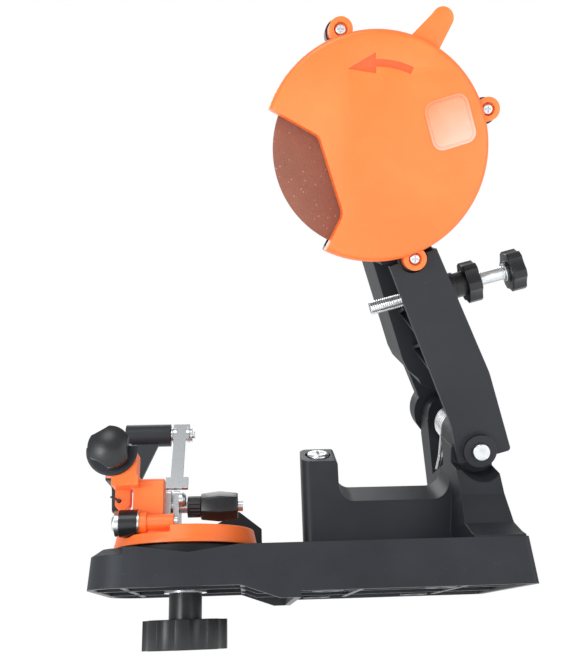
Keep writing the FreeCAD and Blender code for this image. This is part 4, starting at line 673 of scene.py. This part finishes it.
def cover_shell():
    shell = cylinder(GUARD_RADIUS, COVER_BACK, COVER_FRONT, sides=180)
    face_scale = 1 - FACE_DRAWN_IN / GUARD_RADIUS
    pick_faces(shell, lambda face: face.normal.z > 0.9)
    bpy.ops.transform.resize(value=(face_scale, face_scale, 1))
    bpy.ops.mesh.bevel(offset=FACE_ROUNDING * MM, segments=7, affect="EDGES")
    bpy.ops.object.mode_set(mode="OBJECT")
    weld(shell, lifting_tab())
    for angle in EAR_ANGLES:
        weld(shell, cylinder(EAR_RADIUS, COVER_BACK, EAR_FRONT, 64, polar(EAR_CIRCLE, angle)))
    hollow = cylinder(GUARD_RADIUS - GUARD_WALL, COVER_BACK - 1, COVER_FRONT - GUARD_WALL, sides=180)
    carve(hollow, open_side(COVER_BACK - 3, COVER_FRONT + 3, GUARD_WALL))
    carve(shell, hollow)
    carve(shell, cylinder(SEAT_RADIUS, COVER_BACK - 1, SEAT_DEPTH, sides=180))
    carve(shell, open_side(COVER_BACK - 5, COVER_FRONT + 5))
    for angle in EAR_ANGLES:
        spot = polar(EAR_CIRCLE, angle)
        carve(shell, cylinder(SCREW_SEAT_RADIUS, SCREW_SEAT_FROM, EAR_FRONT + 2, 48, spot))
        carve(shell, cylinder(SCREW_HOLE_RADIUS, COVER_BACK - 1, EAR_FRONT + 2, 48, spot))
    carve(shell, turning_arrow())
    ease(shell, COVER_EDGE * MM, 2, 50.0)
    return shell


def turning_arrow():
    """Cutter for the shallow recess that shows which way the wheel turns: a bowed tail and a pointed head."""
    low, high = COVER_FRONT - ARROW_DEPTH, COVER_FRONT + 1.0
    clear_selection()
    bpy.ops.mesh.primitive_plane_add(size=1.0)
    bow = bpy.context.object
    for vertex in bow.data.vertices:
        across, up = vertex.co.x, vertex.co.y
        reach = ARROW_RADIUS + across * ARROW_WIDTH
        vertex.co = Vector((*polar(reach, ARROW_TAIL), (low + high) / 2 + up * (high - low))) * MM
    bpy.ops.object.mode_set(mode="EDIT")
    bpy.ops.mesh.select_all(action="SELECT")
    swept = radians(ARROW_TAIL - ARROW_NECK - 0.3)
    bpy.ops.mesh.spin(steps=14, angle=swept, center=(0, 0, 0), axis=(0, 0, 1))
    bpy.ops.mesh.select_all(action="SELECT")
    bpy.ops.mesh.remove_doubles(threshold=WELD_GAP)
    bpy.ops.mesh.normals_make_consistent(inside=False)
    bpy.ops.object.mode_set(mode="OBJECT")
    inner, outer = (polar(ARROW_RADIUS + side * ARROW_HEAD_HALF, ARROW_NECK) for side in (-1, 1))
    weld(bow, prism([inner, polar(ARROW_RADIUS, ARROW_TIP), outer], low, high))
    return bow


def label_plate():
    """Bare rounded plate with a fine frame line around its sunk middle."""
    half_wide, half_high = LABEL_WIDE / 2, LABEL_HIGH / 2
    corners = [(-half_wide, -half_high), (-half_wide, half_high),
               (half_wide, half_high), (half_wide, -half_high)]
    plate = prism(corners, COVER_FRONT, COVER_FRONT + LABEL_THICK)
    for spot in corners:
        round_corner(plate, spot, LABEL_CORNER)
    pick_faces(plate, lambda face: face.normal.z > 0.9)
    for inset, rise in LABEL_FRAME:
        bpy.ops.mesh.inset(thickness=inset * MM, depth=rise * MM)
    bpy.ops.object.mode_set(mode="OBJECT")
    shift = Matrix.Translation((LABEL_AT[0] * MM, LABEL_AT[1] * MM, 0))
    return place(plate, shift @ Matrix.Rotation(radians(LABEL_TURN), 4, "Z"))


fit_out(on_head(cover_shell()), "guard_cover_shell", "arm", "orange_plastic", ["guard_cover"],
        finish=guard_finish)
fit_out(on_head(label_plate()), "bare_label_plate", "arm", "label", ["blank_label"])

# ------------------------------------------------------------------ floor, light and camera
FLOOR_SIZE, FLOOR_DROP, FLOOR_GLOW = 6.0, 0.06, 0.85
WHITE = (1.0, 1.0, 1.0)
# strength of the white sky as a light and in reflections; the camera sees it at 1
SKY_LIGHT, SKY_MIRRORED = 0.38, 0.60
# soft round lamps that face the machine's middle: offset from it, size in metres, watts, colour
LAMPS = {
    "key": ((-0.30, -0.80, 0.70), 0.6, 3.8, WHITE),
    "fill": ((0.75, -0.65, 0.05), 0.7, 2.0, WHITE),
    "low": ((-0.75, -0.75, -0.12), 0.6, 1.6, WHITE),
    "vise": ((-0.42, -0.50, -0.13), 0.22, 1.1, (0.90, 0.96, 1.0)),
    "back": ((-0.2, 0.8, 0.9), 0.8, 4.0, WHITE),
}
CAMERA_AT = (-0.070, -0.4595, -0.0201)
CAMERA_YAW, CAMERA_PITCH, CAMERA_ROLL = radians(3.8), radians(20.6), radians(2.0)
FRAME_HEIGHT, FOCAL_PIXELS, SENSOR_WIDTH = 668, 800.0, 36.0


def lay_floor():
    clear_selection()
    bpy.ops.mesh.primitive_plane_add(size=FLOOR_SIZE, location=(0, 0, cad_low.z - FLOOR_DROP))
    floor = bpy.context.object
    floor.name = "floor"
    pale = Finish("floor", (0.86, 0.86, 0.86), 0.8, Emission_Color=(*WHITE, 1.0),
                  Emission_Strength=FLOOR_GLOW)
    floor.data.materials.append(pale.material)
    clear_selection()


def hang_sky():
    """Plain white backdrop that gives the machine less light than its own brightness would."""
    world = bpy.data.worlds.new("studio")
    bpy.context.scene.world = world
    world.use_nodes = True
    nodes, links = world.node_tree.nodes, world.node_tree.links
    sky = nodes["Background"]
    sky.inputs[0].default_value = (*WHITE, 1.0)
    path = nodes.new("ShaderNodeLightPath")
    seen = nodes.new("ShaderNodeMath")
    seen.operation = "MULTIPLY_ADD"
    seen.inputs[1].default_value = 1.0 - SKY_LIGHT
    seen.inputs[2].default_value = SKY_LIGHT
    links.new(path.outputs["Is Camera Ray"], seen.inputs[0])
    mirrored = nodes.new("ShaderNodeMath")
    mirrored.operation = "MULTIPLY_ADD"
    mirrored.inputs[1].default_value = SKY_MIRRORED - SKY_LIGHT
    links.new(path.outputs["Is Glossy Ray"], mirrored.inputs[0])
    links.new(seen.outputs[0], mirrored.inputs[2])
    links.new(mirrored.outputs[0], sky.inputs[1])


def hang_lamps():
    middle = (cad_low + cad_high) / 2
    for name, (offset, size, watts, colour) in LAMPS.items():
        lamp = bpy.data.lights.new(name, "AREA")
        lamp.shape = "DISK"
        lamp.size = size
        lamp.energy = watts
        lamp.color = colour
        holder = bpy.data.objects.new(name, lamp)
        bpy.context.collection.objects.link(holder)
        holder.location = middle + Vector(offset)
        holder.rotation_mode = "QUATERNION"
        holder.rotation_quaternion = (-Vector(offset)).to_track_quat("-Z", "Y")


def aim_camera():
    sight = bpy.data.cameras.new("camera")
    camera = bpy.data.objects.new("camera", sight)
    bpy.context.collection.objects.link(camera)
    sight.sensor_width = SENSOR_WIDTH
    sight.lens = FOCAL_PIXELS * SENSOR_WIDTH / FRAME_HEIGHT
    sight.clip_start = 0.01
    ahead = Vector((sin(CAMERA_YAW) * cos(CAMERA_PITCH), cos(CAMERA_YAW) * cos(CAMERA_PITCH),
                    sin(CAMERA_PITCH)))
    level = Vector((cos(CAMERA_YAW), -sin(CAMERA_YAW), 0.0))
    upward = level.cross(ahead)
    right = level * cos(CAMERA_ROLL) - upward * sin(CAMERA_ROLL)
    top = level * sin(CAMERA_ROLL) + upward * cos(CAMERA_ROLL)
    turn = Matrix((right, top, -ahead)).transposed().to_4x4()
    camera.matrix_world = Matrix.Translation(CAMERA_AT) @ turn
    bpy.context.scene.camera = camera
    bpy.context.scene.view_settings.view_transform = "Standard"


lay_floor()
hang_sky()
hang_lamps()
aim_camera()
